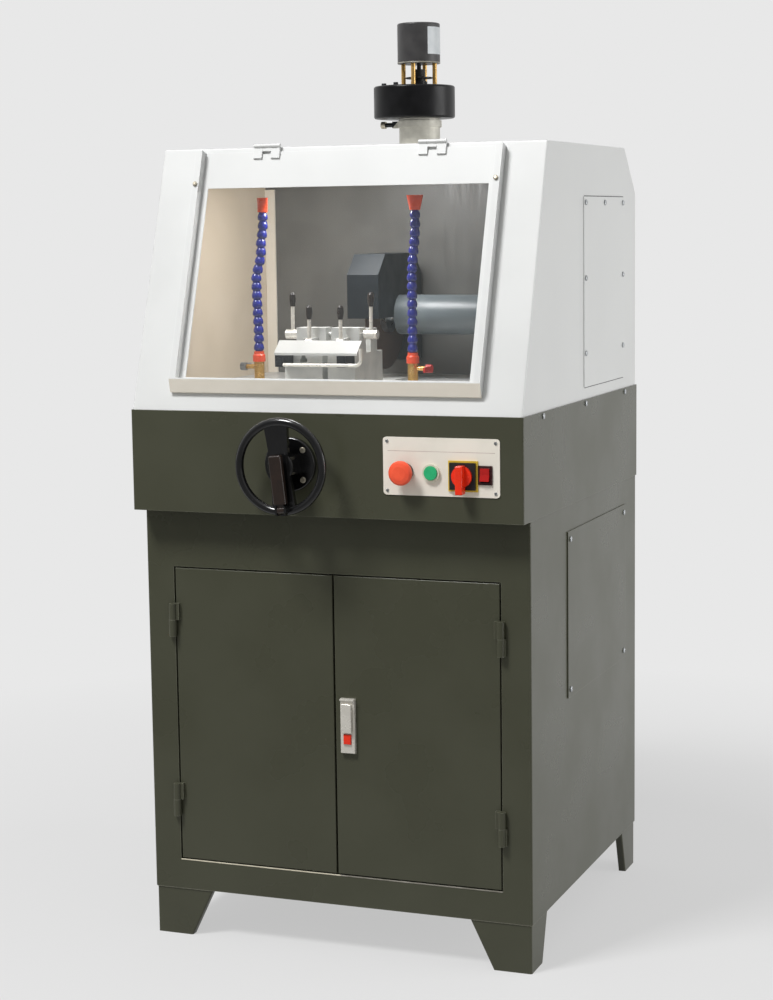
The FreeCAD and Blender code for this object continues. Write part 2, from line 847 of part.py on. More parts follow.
def cabinet_back_cover():
    """Rear cover with columns of ventilation slots."""
    z0 = CAB_Z + COVER_UP
    cover = block(-COVER_W / 2, COVER_W / 2, CAB_BACK, CAB_BACK + COVER_T, z0, z0 + COVER_H)
    slots = []
    first = z0 + COVER_H / 2 - LOUVRE_STEP * (LOUVRE_ROWS - 1) / 2
    for col in range(LOUVRE_COLS):
        x = (col - (LOUVRE_COLS - 1) / 2) * COVER_W / LOUVRE_COLS
        for row in range(LOUVRE_ROWS):
            z = first + row * LOUVRE_STEP
            y0 = CAB_BACK - COVER_T
            y1 = CAB_BACK + 2 * COVER_T
            half = LOUVRE_W / 2
            slots.append(block(x - half, x + half, y0, y1, z - LOUVRE_H / 2, z + LOUVRE_H / 2))
    return drilled(cut_all(cover, slots), cover_seats())


def gland_point():
    """Centre of the cable gland on the cabinet's rear face."""
    return V(GLAND_X, CAB_BACK, CAB_Z + GLAND_UP)


def cable_gland():
    """Cable gland through the rear wall, with its bore."""
    body = [
        (GLAND_BORE_R, -GLAND_IN),
        (GLAND_THREAD_R, -GLAND_IN),
        (GLAND_THREAD_R, 0),
        (GLAND_R, 0),
        (GLAND_R, GLAND_OUT * 0.6),
        (GLAND_R * 0.8, GLAND_OUT),
        (GLAND_BORE_R, GLAND_OUT),
    ]
    return turned(body, gland_point(), Y_AXIS)


# Doors


def hinge_levels():
    """Middle heights of the door hinges."""
    return [OPEN_Z + up for up in HINGE_HEIGHTS]


def hinge_post(side, z):
    """Frame half of a hinge: welded lower knuckle with the pin."""
    axis = V(side * HINGE_X, HINGE_Y, z - HINGE_KNUCKLE)
    knuckle = rod(axis, Z_AXIS, HINGE_R, HINGE_KNUCKLE)
    pin = rod(axis, Z_AXIS, HINGE_PIN_R, 2 * HINGE_KNUCKLE - SHEET)
    near = side * HINGE_X
    far = side * (HINGE_X + HINGE_TAB)
    tab = block(min(near, far), max(near, far), HINGE_Y, CAB_FRONT, z - HINGE_KNUCKLE, z)
    return fused([knuckle, pin, tab])


def door_hinge_posts():
    """Frame halves of the four door hinges."""
    return group([hinge_post(side, z) for side in (-1, 1) for z in hinge_levels()])


def door_knuckle(side, z):
    """Door half of a hinge: upper knuckle bored for the pin."""
    low = z + CLEAR
    axis = V(side * HINGE_X, HINGE_Y, low)
    length = HINGE_KNUCKLE - CLEAR
    near = side * HINGE_X
    far = side * (HINGE_X - HINGE_AXIS_IN - DOOR_GAP - HINGE_TAB)
    tab = block(min(near, far), max(near, far), HINGE_Y, CAB_FRONT, low, low + length)
    bore = rod(axis, Z_AXIS, HINGE_PIN_R + RUN_FIT, length - SHEET + CLEAR)
    return rod(axis, Z_AXIS, HINGE_R, length).fuse(tab).cut(bore)


def cabinet_door(side):
    """Pan door with folded edges and its hinge knuckles."""
    near = side * DOOR_MEET / 2
    far = side * (OPEN_X - DOOR_GAP)
    x0 = min(near, far)
    x1 = max(near, far)
    z0 = OPEN_Z + DOOR_GAP
    z1 = OPEN_TOP - DOOR_GAP
    pan = block(x0, x1, CAB_FRONT, CAB_FRONT + DOOR_T, z0, z1)
    pan = rounded(pan, DOOR_R, lambda edge: abs(edge.BoundBox.YMax - CAB_FRONT) < 1e-6)
    y0 = CAB_FRONT + SHEET
    y1 = CAB_FRONT + 2 * DOOR_T
    pan = pan.cut(block(x0 + SHEET, x1 - SHEET, y0, y1, z0 + SHEET, z1 - SHEET))
    return fused([pan] + [door_knuckle(side, z) for z in hinge_levels()])


def lock_axis():
    """Point where the lock's spindle leaves the door's face."""
    return V(LOCK_X, CAB_FRONT, LOCK_Z + LOCK_SPINDLE_UP)


def left_door():
    """Plain left door."""
    return cabinet_door(-1)


def right_door():
    """Right door with a hole for the lock's spindle."""
    hole = rod(lock_axis() - Y_AXIS * SHEET, Y_AXIS, LOCK_SPINDLE_R + CLEAR, 3 * SHEET)
    return cabinet_door(1).cut(hole)


def lock_face(w, h, up, out0, out1):
    """Box on the lock: width, height, height of its centre and its reach from the door."""
    flat = block(-w / 2, w / 2, up - h / 2, up + h / 2, out0, out1)
    return outward_front(flat, LOCK_X, CAB_FRONT, LOCK_Z)


def lock_base():
    """Raised lock plate with a spindle hole and a button hole."""
    plate = lock_face(LOCK_W, LOCK_H, 0, 0, LOCK_T)
    plate = rounded(plate, DOOR_R, lambda edge: edge.BoundBox.YMax < CAB_FRONT - LOCK_T + 1e-6)
    spindle = rod(lock_axis(), Y_AXIS * -1, LOCK_SPINDLE_R + RUN_FIT, LOCK_T)
    w = LOCK_BUTTON_W + 2 * CLEAR
    h = LOCK_BUTTON_H + 2 * CLEAR
    return cut_all(plate, [spindle, lock_face(w, h, -LOCK_BUTTON_DROP, 0, LOCK_T)])


def lock_lever():
    """Lever with its spindle through the door and the cam behind it."""
    out = LOCK_T + CLEAR
    up = LOCK_SPINDLE_UP + LOCK_LEVER_W / 2 - LOCK_LEVER_L / 2
    lever = lock_face(LOCK_LEVER_W, LOCK_LEVER_L, up, out, out + LOCK_LEVER_T)
    lever = rounded(lever, DOOR_R, lambda edge: True)
    reach = DOOR_T + CLEAR + LOCK_CAM_T
    spindle = rod(lock_axis() + Y_AXIS * reach, Y_AXIS * -1, LOCK_SPINDLE_R, reach + out + LOCK_LEVER_T / 2)
    cam_up = LOCK_SPINDLE_UP + LOCK_CAM_W / 2 - LOCK_CAM_L / 2
    cam = lock_face(LOCK_CAM_W, LOCK_CAM_L, cam_up, -reach, -reach + LOCK_CAM_T)
    return fused([lever, spindle, cam])


def lock_button():
    """Red release button in the lock plate."""
    out0 = LOCK_T - LOCK_BUTTON_OUT - CLEAR
    button = lock_face(LOCK_BUTTON_W, LOCK_BUTTON_H, -LOCK_BUTTON_DROP, out0, LOCK_T + LOCK_BUTTON_OUT)
    return rounded(button, DOOR_R, lambda edge: edge.BoundBox.YMax < CAB_FRONT - LOCK_T)


# Feed case


def belt_room(z0, z1):
    """Space that the belt and its guard take in the plates below."""
    y0 = SPINDLE_Y - WALL_FRONT
    return block(WALL_X + WALL_T, CASE_X - CAB_FLANGE, y0, SPLASH_Y - PASS, z0, z1)


def feed_case():
    """Wide box with the handwheel, switches and feed inside, open at the top."""
    outer = rounded(block(-CASE_X, CASE_X, FRONT, BACK, CASE_Z, HOOD_Z), FOLD_R, is_upright)
    x = CASE_X - SHEET
    inner = block(-x, x, FRONT + SHEET, BACK - SHEET, CASE_Z + SHEET, HOOD_Z + SHEET)
    tools = [inner, belt_room(CASE_Z - SHEET, CASE_Z + 2 * SHEET)]
    tools.append(rod(V(FEED_X, FRONT - SHEET, FEED_Z), Y_AXIS, LEAD_R + CLEAR, 3 * SHEET))
    low = CASE_Z - SHEET
    tools.append(rod(V(CUT_X - HOSE_SPREAD, HOSE_Y, low), Z_AXIS, PIPE_R + PASS, 4 * SHEET))
    tools.append(rod(V(DRAIN_X, FRONT + DRAIN_BACK, low), Z_AXIS, DRAIN_R + PASS, 4 * SHEET))
    case = cut_all(outer, tools + switch_holes(FRONT - SHEET, FRONT + 2 * SHEET))
    return drilled(case, hood_seats() + dial_seats())


# Hood


def hood_outline():
    """Side view of the hood, counter-clockwise."""
    low = HOOD_Z - SKIRT_H
    return [
        (HOOD_FRONT, low),
        (HOOD_BACK, low),
        (HOOD_BACK, TOP_Z - HOOD_CHAMFER_H),
        (HOOD_BACK - HOOD_CHAMFER_D, TOP_Z),
        (HOOD_FRONT + HOOD_LEAN, TOP_Z),
        (HOOD_FRONT, HOOD_Z),
    ]


def hood_hollow():
    """Inside of the hood, open below."""
    corners = inset(hood_outline(), SHEET)
    drop = 2 * SHEET
    corners[0] = (corners[0][0], corners[0][1] - drop)
    corners[1] = (corners[1][0], corners[1][1] - drop)
    return side_prism(corners, -HOOD_X + SHEET, HOOD_X - SHEET)


def window_mouth():
    """Opening in the hood behind the window."""
    low = PANE_LOW - PANE_LAP - PASS
    high = PANE_LOW + PANE_H + PANE_LAP + PASS
    half = WIN_HALF - HOOD_LAP
    return on_slope(slope_block(-half, half, -3 * SHEET, SHEET, low, high))


def plate_opening():
    """Opening behind the hood's cover plate."""
    y0 = FRONT + PLATE_BACK + PLATE_LAP
    z0 = HOOD_Z + PLATE_UP + PLATE_LAP
    y1 = y0 + PLATE_D - 2 * PLATE_LAP
    z1 = z0 + PLATE_H - 2 * PLATE_LAP
    return block(HOOD_X - 2 * SHEET, HOOD_X + SHEET, y0, y1, z0, z1)


def hood_shell():
    """White hood with a leaning front and a chamfered rear edge."""
    outer = side_prism(hood_outline(), -HOOD_X, HOOD_X)
    low = HOOD_Z - SKIRT_H + 1
    outer = rounded(outer, FOLD_R, lambda edge: edge.BoundBox.ZMax > low)
    duct = fan_rod(TOP_Z - 2 * SHEET, TOP_Z + SHEET, DUCT_R - DUCT_WALL)
    shell = cut_all(outer, [hood_hollow(), window_mouth(), plate_opening(), duct])
    return drilled(shell, plate_seats() + hood_seats())


def hood_side_plate():
    """Cover plate on the hood's right side."""
    y = FRONT + PLATE_BACK
    z = HOOD_Z + PLATE_UP
    plate = block(HOOD_X, HOOD_X + PLATE_T, y, y + PLATE_D, z, z + PLATE_H)
    return drilled(plate, plate_seats())


# Window


def window_axis_up():
    """Hinge axis up the slope."""
    return SLOPE_L + WIN_HINGE_UP


def window_rim(side):
    """Folded rim along one side of the window."""
    x0 = side * WIN_HALF
    x1 = side * (WIN_HALF - RIM_W)
    low = WIN_LOW + LIP_H
    outer = slope_block(min(x0, x1), max(x0, x1), WIN_STANDOFF, RIM_H, low, WIN_TOP)
    x0 = side * (WIN_HALF - SHEET)
    x1 = side * (WIN_HALF - RIM_W + SHEET)
    hollow = slope_block(min(x0, x1), max(x0, x1), 0, RIM_H - SHEET, low, WIN_TOP - SHEET)
    return outer.cut(hollow)


def window_lip():
    """Angled lip along the window's lower edge."""
    outline = [
        (-WIN_STANDOFF, WIN_LOW),
        (-LIP_FOOT, WIN_LOW),
        (-RIM_H, WIN_LOW + LIP_H - SHEET),
        (-RIM_H, WIN_LOW + LIP_H),
        (-WIN_STANDOFF, WIN_LOW + LIP_H),
    ]
    return side_prism(outline, -WIN_HALF, WIN_HALF)


def window_knuckles(x):
    """Window's two knuckles of one hinge, either side of the fixed one."""
    pieces = []
    up = window_axis_up()
    for side in (-1, 1):
        near = x + side * (WIN_KNUCKLE / 2 + CLEAR)
        far = near + side * WIN_KNUCKLE
        x0 = min(near, far)
        x1 = max(near, far)
        barrel = rod(V(x0, -WIN_HINGE_OUT, up), X_AXIS, WIN_HINGE_R, WIN_KNUCKLE)
        leaf = slope_block(x0, x1, WIN_STANDOFF + SHEET, WIN_HINGE_OUT, WIN_TOP - RIM_W, up)
        bore = rod(V(x0, -WIN_HINGE_OUT, up), X_AXIS, WIN_PIN_R + RUN_FIT, WIN_KNUCKLE)
        pieces.append(barrel.fuse(leaf).cut(bore))
    return pieces


def window_frame():
    """Window sheet with its side rims, lower lip and hinge knuckles."""
    x = WIN_HALF - RIM_W + SHEET
    out = WIN_STANDOFF + SHEET
    sheet = slope_block(-x, x, WIN_STANDOFF, out, WIN_LOW + LIP_H, WIN_TOP)
    light = slope_block(-PANE_HALF, PANE_HALF, 0, 2 * out, PANE_LOW, PANE_LOW + PANE_H)
    pieces = [sheet.cut(light), window_rim(-1), window_rim(1), window_lip()]
    for side in (-1, 1):
        pieces += window_knuckles(side * WIN_HINGE_X)
    relief = [window_relief(side * WIN_HINGE_X) for side in (-1, 1)]
    return on_slope(cut_all(fused(pieces), relief))


def window_relief(x):
    """Notch in the window's upper edge for a fixed knuckle."""
    half = WIN_KNUCKLE / 2 + CLEAR
    return slope_block(x - half, x + half, 0, RIM_H + SHEET, WIN_TOP - 2 * SHEET, WIN_TOP + SHEET)


def window_pane():
    """Clear pane behind the window sheet."""
    x = PANE_HALF + PANE_LAP
    low = PANE_LOW - PANE_LAP
    high = PANE_LOW + PANE_H + PANE_LAP
    return on_slope(slope_block(-x, x, WIN_STANDOFF - PANE_T, WIN_STANDOFF, low, high))


def window_studs():
    """Small brass screws on the window's rims."""
    x = WIN_HALF - RIM_W / 2
    profile = [(0, 0), (STUD_R, 0), (STUD_R, STUD_H * 0.6), (STUD_R * 0.6, STUD_H), (0, STUD_H)]
    studs = [turned(profile, V(side * x, -RIM_H, STUD_UP), Y_AXIS * -1) for side in (-1, 1)]
    return group([on_slope(stud) for stud in studs])


def window_hinges():
    """Fixed knuckles of the window's hinges, with their pins, on the hood's upper edge."""
    hinges = []
    up = window_axis_up()
    for side in (-1, 1):
        x = side * WIN_HINGE_X
        half = WIN_KNUCKLE / 2
        axis = V(x - half, -WIN_HINGE_OUT, up)
        pin_x = x - 1.5 * WIN_KNUCKLE
        pin = rod(V(pin_x, -WIN_HINGE_OUT, up), X_AXIS, WIN_PIN_R, 3 * WIN_KNUCKLE)
        leaf = slope_block(x - half, x + half, 0, WIN_HINGE_OUT, WIN_TOP + CLEAR, SLOPE_L - FOLD_R)
        neck = slope_block(x - half, x + half, SHEET, WIN_HINGE_OUT, WIN_TOP + CLEAR, up)
        hinges.append(on_slope(fused([rod(axis, X_AXIS, WIN_HINGE_R, WIN_KNUCKLE), pin, leaf, neck])))
    return group(hinges)


# Control plate and switches


def on_plate(shape, x, up):
    """Shape drawn facing +Z, placed on the feed case front from the plate's centre."""
    return outward_front(shape, CTRL_X + x, FRONT, CTRL_Z + up)


def switch_holes(y0, y1):
    """Holes for the switches through a front wall."""
    holes = []
    for x, up in ((STOP_X, STOP_UP), (START_X, START_UP), (ISO_X, ISO_UP)):
        centre = V(CTRL_X + x, y0, CTRL_Z + up)
        holes.append(rod(centre, Y_AXIS, BARREL_R + HOLE_PLAY, y1 - y0))
    x = CTRL_X + ROCKER_X
    z = CTRL_Z + ROCKER_UP
    w = ROCKER_W / 2 - ROCKER_RIM + HOLE_PLAY
    h = ROCKER_H / 2 - ROCKER_RIM + HOLE_PLAY
    holes.append(block(x - w, x + w, y0, y1, z - h, z + h))
    return holes


def control_plate():
    """Thin plate with rounded corners, with a rivet near each corner."""
    flat = block(-CTRL_W / 2, CTRL_W / 2, -CTRL_H / 2, CTRL_H / 2, 0, CTRL_T)
    flat = rounded(flat, CTRL_R, is_upright)
    plate = cut_all(on_plate(flat, 0, 0), switch_holes(FRONT - 2 * CTRL_T, FRONT))
    profile = [(0, 0), (RIVET_R, 0), (RIVET_R * 0.7, RIVET_H), (0, RIVET_H)]
    pieces = [plate]
    for sx in (-1, 1):
        for sz in (-1, 1):
            x = sx * (CTRL_W / 2 - RIVET_IN)
            up = sz * (CTRL_H / 2 - RIVET_IN)
            pieces.append(on_plate(turned(profile, V(0, 0, CTRL_T), Z_AXIS), x, up))
    return group(pieces)


def switch_barrel(x, up):
    """Threaded barrel through the wall with its contact block behind."""
    inner = BARREL_R - BARREL_WALL
    barrel = tube(V(0, 0, -BARREL_IN), Z_AXIS, BARREL_R, inner, BARREL_IN + CTRL_T)
    half = CONTACT_W / 2
    contact = block(-half, half, -half, half, -BARREL_IN - CONTACT_D, -BARREL_IN)
    return on_plate(barrel.fuse(contact), x, up)


def switch_bodies():
    """Contact blocks of the two buttons, the isolator and the rocker."""
    places = ((STOP_X, STOP_UP), (START_X, START_UP), (ISO_X, ISO_UP))
    bodies = [switch_barrel(x, up) for x, up in places]
    w = ROCKER_W / 2 - ROCKER_RIM
    h = ROCKER_H / 2 - ROCKER_RIM
    back = ROCKER_DEPTH + CONTACT_D / 2
    rocker = block(-w, w, -h, h, -back, CTRL_T)
    wall = ROCKER_WALL
    well = block(-w + wall, w - wall, -h + wall, h - wall, -ROCKER_DEPTH, 2 * CTRL_T)
    pin = rod(V(-w, 0, -ROCKER_PIVOT_IN), X_AXIS, ROCKER_PIN_R + RUN_FIT, 2 * w)
    bodies.append(on_plate(cut_all(rocker, [well, pin]), ROCKER_X, ROCKER_UP))
    return group(bodies)


def button_bezels():
    """Collars of the two buttons and the rocker's frame."""
    base = V(0, 0, CTRL_T)
    stop = tube(base, Z_AXIS, STOP_COLLAR_R, BARREL_R - BARREL_WALL, COLLAR_T)
    start = tube(base, Z_AXIS, START_BEZEL_R, START_R + CLEAR, COLLAR_T)
    seat = tube(base, Z_AXIS, START_BEZEL_R, BARREL_R - BARREL_WALL, SHEET / 2)
    w = ROCKER_W / 2
    h = ROCKER_H / 2
    top = CTRL_T + ROCKER_RIM_T
    rim = block(-w, w, -h, h, CTRL_T, top)
    w = w - ROCKER_RIM - ROCKER_WALL
    h = h - ROCKER_RIM - ROCKER_WALL
    rim = rim.cut(block(-w, w, -h, h, 0, 2 * top))
    return group([
        on_plate(stop, STOP_X, STOP_UP),
        on_plate(start.fuse(seat), START_X, START_UP),
        on_plate(rim, ROCKER_X, ROCKER_UP),
    ])


def isolator_plate():
    """Square frame and raised face of the rotary isolator."""
    half = ISO_FRAME / 2
    frame = block(-half, half, -half, half, CTRL_T, CTRL_T + ISO_FRAME_T)
    half = ISO_FACE / 2
    base = CTRL_T + ISO_FRAME_T
    face = block(-half, half, -half, half, base, base + ISO_FACE_T)
    frame = frame.cut(rod(ORIGIN, Z_AXIS, BARREL_R, base + 1))
    face = face.cut(rod(ORIGIN, Z_AXIS, BARREL_R - BARREL_WALL, base + 2 * ISO_FACE_T))
    return group([on_plate(piece, ISO_X, ISO_UP) for piece in (frame, face)])


def switch_stem(top):
    """Stem that slides or turns in a barrel, up to a height above the wall."""
    return rod(V(0, 0, -BARREL_IN / 2), Z_AXIS, BARREL_R - BARREL_WALL - CLEAR, top + BARREL_IN / 2)


def stop_button():
    """Mushroom stop button."""
    low = STOP_OUT - STOP_CAP_T
    cap = [
        (0, low),
        (STOP_R * 0.8, low),
        (STOP_R, low + STOP_CAP_T * 0.3),
        (STOP_R, low + STOP_CAP_T * 0.6),
        (STOP_R * 0.85, low + STOP_CAP_T * 0.88),
        (STOP_R * 0.55, STOP_OUT),
        (0, STOP_OUT),
    ]
    return on_plate(fused([turned(cap, ORIGIN, Z_AXIS), switch_stem(low)]), STOP_X, STOP_UP)


def start_button():
    """Flat start button."""
    low = START_OUT - START_TRAVEL
    cap = rod(V(0, 0, low + CTRL_T), Z_AXIS, START_R, START_OUT - low)
    cap = rounded(cap, START_TRAVEL / 3, lambda edge: edge.BoundBox.ZMin > START_OUT)
    return on_plate(fused([cap, switch_stem(low + CTRL_T)]), START_X, START_UP)


def isolator_handle():
    """Disc with a long bar grip that turns on the isolator's face and points down at rest."""
    base = CTRL_T + ISO_FRAME_T + ISO_FACE_T + CLEAR
    disc = rod(V(0, 0, base), Z_AXIS, ISO_HANDLE_R, ISO_DISC_T)
    half = ISO_GRIP_W / 2
    top = base + ISO_DISC_T
    grip = block(-half, half, -ISO_TAIL, ISO_NOSE, top - ISO_DISC_T / 2, top + ISO_GRIP_H)
    grip = rounded(grip, DOOR_R, lambda edge: edge.BoundBox.ZMax > top)
    return on_plate(fused([disc, grip, switch_stem(base)]), ISO_X, ISO_UP)


def rocker_key():
    """Rocker with two sloping faces, tipped to one side at rest."""
    w = ROCKER_W / 2 - ROCKER_RIM - ROCKER_WALL - CLEAR
    h = ROCKER_H / 2 - ROCKER_RIM - 2 * ROCKER_WALL
    top = CTRL_T + ROCKER_RIM_T + ROCKER_OUT
    low = -ROCKER_PIVOT_IN - 2 * ROCKER_PIN_R
    outline = [(-h, top), (0, top - ROCKER_WALL), (h, top), (h * 0.7, low), (-h * 0.7, low)]
    key = side_prism(outline, -w, w)
    key.rotate(V(0, 0, -ROCKER_PIVOT_IN), X_AXIS, -ROCKER_SWING / 2)
    reach = w + CLEAR + ROCKER_WALL / 2
    axle = rod(V(-reach, 0, -ROCKER_PIVOT_IN), X_AXIS, ROCKER_PIN_R, 2 * reach)
    return on_plate(fused([key, axle]), ROCKER_X, ROCKER_UP)


# Handwheel and feed


def at_wheel(shape):
    """Shape drawn on the feed axis facing +Z, turned as at rest and placed at the handwheel's hub."""
    turned_shape = shape.copy()
    turned_shape.rotate(ORIGIN, Z_AXIS, WHEEL_REST)
    return outward_front(turned_shape, FEED_X, WHEEL_BASE, FEED_Z)


def dial_flange():
    """Round bearing flange on the feed case front."""
    disc = rod(ORIGIN, Z_AXIS, DIAL_R, DIAL_T)
    disc = rounded(disc, FOLD_R, lambda edge: edge.BoundBox.ZMin > DIAL_T / 2)
    bush = rod(V(0, 0, -2 * SHEET), Z_AXIS, LEAD_R, 2 * SHEET)
    bore = rod(V(0, 0, -DIAL_T), Z_AXIS, SCREW_SHAFT_R + RUN_FIT, 3 * DIAL_T)
    flange = outward_front(disc.fuse(bush).cut(bore), FEED_X, FRONT, FEED_Z)
    return drilled(flange, dial_seats())


def wheel_spoke(turn):
    """Broad spoke from the hub to the rim, wider at the rim."""
    hub = SPOKE_HUB_W / 2
    rim = SPOKE_RIM_W / 2
    low = RIM_OUT - SPOKE_T / 2
    points = [V(-hub, 0, low), V(hub, 0, low), V(rim, RIM_R, low), V(-rim, RIM_R, low)]
    spoke = extrude(points, V(0, 0, SPOKE_T))
    spoke.rotate(ORIGIN, Z_AXIS, turn)
    return spoke


def grip_boss():
    """Slotted round boss on the rim with a pin that carries the folding grip."""
    near = GRIP_EYE_W / 2 + CLEAR
    low = GRIP_PIVOT_OUT - GRIP_EYE_R - 2 * CLEAR
    top = GRIP_PIVOT_OUT + GRIP_EYE_R
    boss = rod(V(0, -GRIP_PIVOT_R, RIM_OUT), Z_AXIS, GRIP_BOSS_R, top - RIM_OUT)
    y0 = -GRIP_PIVOT_R - 2 * GRIP_BOSS_R
    y1 = -GRIP_PIVOT_R + 2 * GRIP_BOSS_R
    slot = block(-near, near, y0, y1, low, top + 1)
    half = near + CLEAR
    pin = rod(V(-half, -GRIP_PIVOT_R, GRIP_PIVOT_OUT), X_AXIS, GRIP_PIN_R, 2 * half)
    return [boss.cut(slot), pin]


def handwheel():
    """Two-spoke handwheel with a boss for its folding grip."""
    hub = rounded(rod(ORIGIN, Z_AXIS, HUB_R, HUB_L), FOLD_R, lambda edge: edge.BoundBox.ZMin > HUB_L / 2)
    rim = Part.makeTorus(RIM_R, RIM_TUBE, V(0, 0, RIM_OUT))
    body = fused([hub, rim, wheel_spoke(0), wheel_spoke(180)] + grip_boss())
    bore = rod(V(0, 0, -1), Z_AXIS, SCREW_SHAFT_R + RUN_FIT, HUB_L - FOLD_R)
    return at_wheel(body.cut(bore))


def handwheel_grip():
    """Folding grip lying across the wheel, a little off it."""
    y0 = -GRIP_PIVOT_R
    half = GRIP_T / 2
    start = y0 + math.sqrt(2) * GRIP_EYE_R + PASS / 2
    body = block(-GRIP_W / 2, GRIP_W / 2, start, y0 + GRIP_L, GRIP_PIVOT_OUT - half, GRIP_PIVOT_OUT + half)
    body = rounded(body, half * 0.5, lambda edge: edge.BoundBox.YMax > start + 1)
    x = GRIP_EYE_W / 2
    eye = rod(V(-x, y0, GRIP_PIVOT_OUT), X_AXIS, GRIP_EYE_R, GRIP_EYE_W)
    neck = block(-x, x, y0, start + 2, GRIP_PIVOT_OUT - half * 0.5, GRIP_PIVOT_OUT + half * 0.5)
    bore = rod(V(-x - 1, y0, GRIP_PIVOT_OUT), X_AXIS, GRIP_PIN_R + RUN_FIT, GRIP_EYE_W + 2)
    grip = fused([body, neck, eye]).cut(bore)
    grip.rotate(V(0, y0, GRIP_PIVOT_OUT), X_AXIS, GRIP_TILT)
    return at_wheel(grip)


def lead_screw():
    """Lead screw with a plain journal through the flange into the wheel's hub."""
    journal_l = HUB_L - FOLD_R - 2 + NEST + DIAL_T + 3 * SHEET
    start = V(FEED_X, FRONT + 3 * SHEET, FEED_Z)
    journal = rod(start, Y_AXIS * -1, SCREW_SHAFT_R, journal_l)
    return fused([journal, rod(start, Y_AXIS, LEAD_R, LEAD_L)])


def guide_points():
    """Sideways places of the two guide rods."""
    return (FEED_X - GUIDE_SPREAD, FEED_X + GUIDE_SPREAD)


def guide_rods():
    """Two guide rods along the feed."""
    return group([rod(V(x, FRONT + GUIDE_BACK, FEED_Z), Y_AXIS, GUIDE_R, GUIDE_L) for x in guide_points()])


def rod_brackets():
    """Plates on the feed case floor that hold the guides and the screw."""
    brackets = []
    x0, x1 = guide_points()
    for y in (FRONT + GUIDE_BACK, FRONT + GUIDE_BACK + GUIDE_L - BRACKET_T):
        z0 = CASE_Z + SHEET
        plate = block(x0 - BRACKET_SIDE, x1 + BRACKET_SIDE, y, y + BRACKET_T, z0, FEED_Z + BRACKET_TOP)
        holes = [rod(V(x, y - 1, FEED_Z), Y_AXIS, GUIDE_R + RUN_FIT, BRACKET_T + 2) for x in (x0, x1)]
        holes.append(rod(V(FEED_X, y - 1, FEED_Z), Y_AXIS, LEAD_R + RUN_FIT, BRACKET_T + 2))
        brackets.append(cut_all(plate, holes))
    return group(brackets)


def table_carriage():
    """Carriage on the guides with the post and apron that carry the table."""
    x0, x1 = guide_points()
    y0 = FRONT + CARRIAGE_BACK
    y1 = y0 + CARRIAGE_L
    z0 = FEED_Z - CARRIAGE_DROP
    body = block(x0 - BRACKET_SIDE, x1 + BRACKET_SIDE, y0, y1, z0, z0 + CARRIAGE_H)
    apron_z = TABLE_Z - TABLE_H - APRON_T
    post = block(CUT_X - POST_W / 2, CUT_X + POST_W / 2, y0, y1, z0 + CARRIAGE_H, apron_z)
    y = FRONT + TABLE_BACK
    apron = block(CUT_X - TABLE_LEFT, CUT_X + TABLE_RIGHT, y, y + APRON_L, apron_z, apron_z + APRON_T)
    holes = [rod(V(x, y0 - 1, FEED_Z), Y_AXIS, GUIDE_R + RUN_FIT, CARRIAGE_L + 2) for x in (x0, x1)]
    holes.append(rod(V(FEED_X, y0 - 1, FEED_Z), Y_AXIS, LEAD_R + CLEAR, CARRIAGE_L + 2))
    return cut_all(fused([body, post, apron]), holes)


def feed_nut():
    """Flanged nut on the carriage's rear face, running on the screw."""
    start = V(FEED_X, FRONT + CARRIAGE_BACK + CARRIAGE_L, FEED_Z)
    return tube(start, Y_AXIS, NUT_R, LEAD_R + RUN_FIT, NUT_L)


def tee_slot(x):
    """Tee-shaped slot along the table."""
    y0 = FRONT + TABLE_BACK - 1
    y1 = y0 + TABLE_L + 2
    mouth = block(x - TEE_MOUTH / 2, x + TEE_MOUTH / 2, y0, y1, TABLE_Z - TEE_MOUTH_D, TABLE_Z + 1)
    low = TABLE_Z - TEE_MOUTH_D - TEE_D
    return mouth.fuse(block(x - TEE_W / 2, x + TEE_W / 2, y0, y1, low, TABLE_Z - TEE_MOUTH_D))


def table_sides():
    """Sideways limits of the table's two halves."""
    half = TABLE_SLOT / 2
    return ((CUT_X - TABLE_LEFT, CUT_X - half), (CUT_X + half, CUT_X + TABLE_RIGHT))


def table_blocks():
    """Two table halves with a tee slot each and the wheel's slot between them."""
    halves = []
    y = FRONT + TABLE_BACK
    for x0, x1 in table_sides():
        half = block(x0, x1, y, y + TABLE_L, TABLE_Z - TABLE_H, TABLE_Z)
        halves.append(half.cut(tee_slot((x0 + x1) / 2)))
    return group(halves)


def lever_lugs(x):
    """Lugs with a pin that carry an inner lever in front of a clamp block."""
    near = INNER_HUB_W / 2 + CLEAR
    y1 = FRONT + CLAMP_BACK
    pieces = []
    for side in (-1, 1):
        x0 = x + side * near
        x1 = x + side * (near + LUG_T)
        z0 = INNER_Z - INNER_HUB_R
        z1 = INNER_Z + INNER_HUB_R
        pieces.append(block(min(x0, x1), max(x0, x1), INNER_Y - INNER_HUB_R, y1, z0, z1))
    half = near + LUG_T
    pieces.append(rod(V(x - half, INNER_Y, INNER_Z), X_AXIS, INNER_PIN_R, 2 * half))
    return pieces


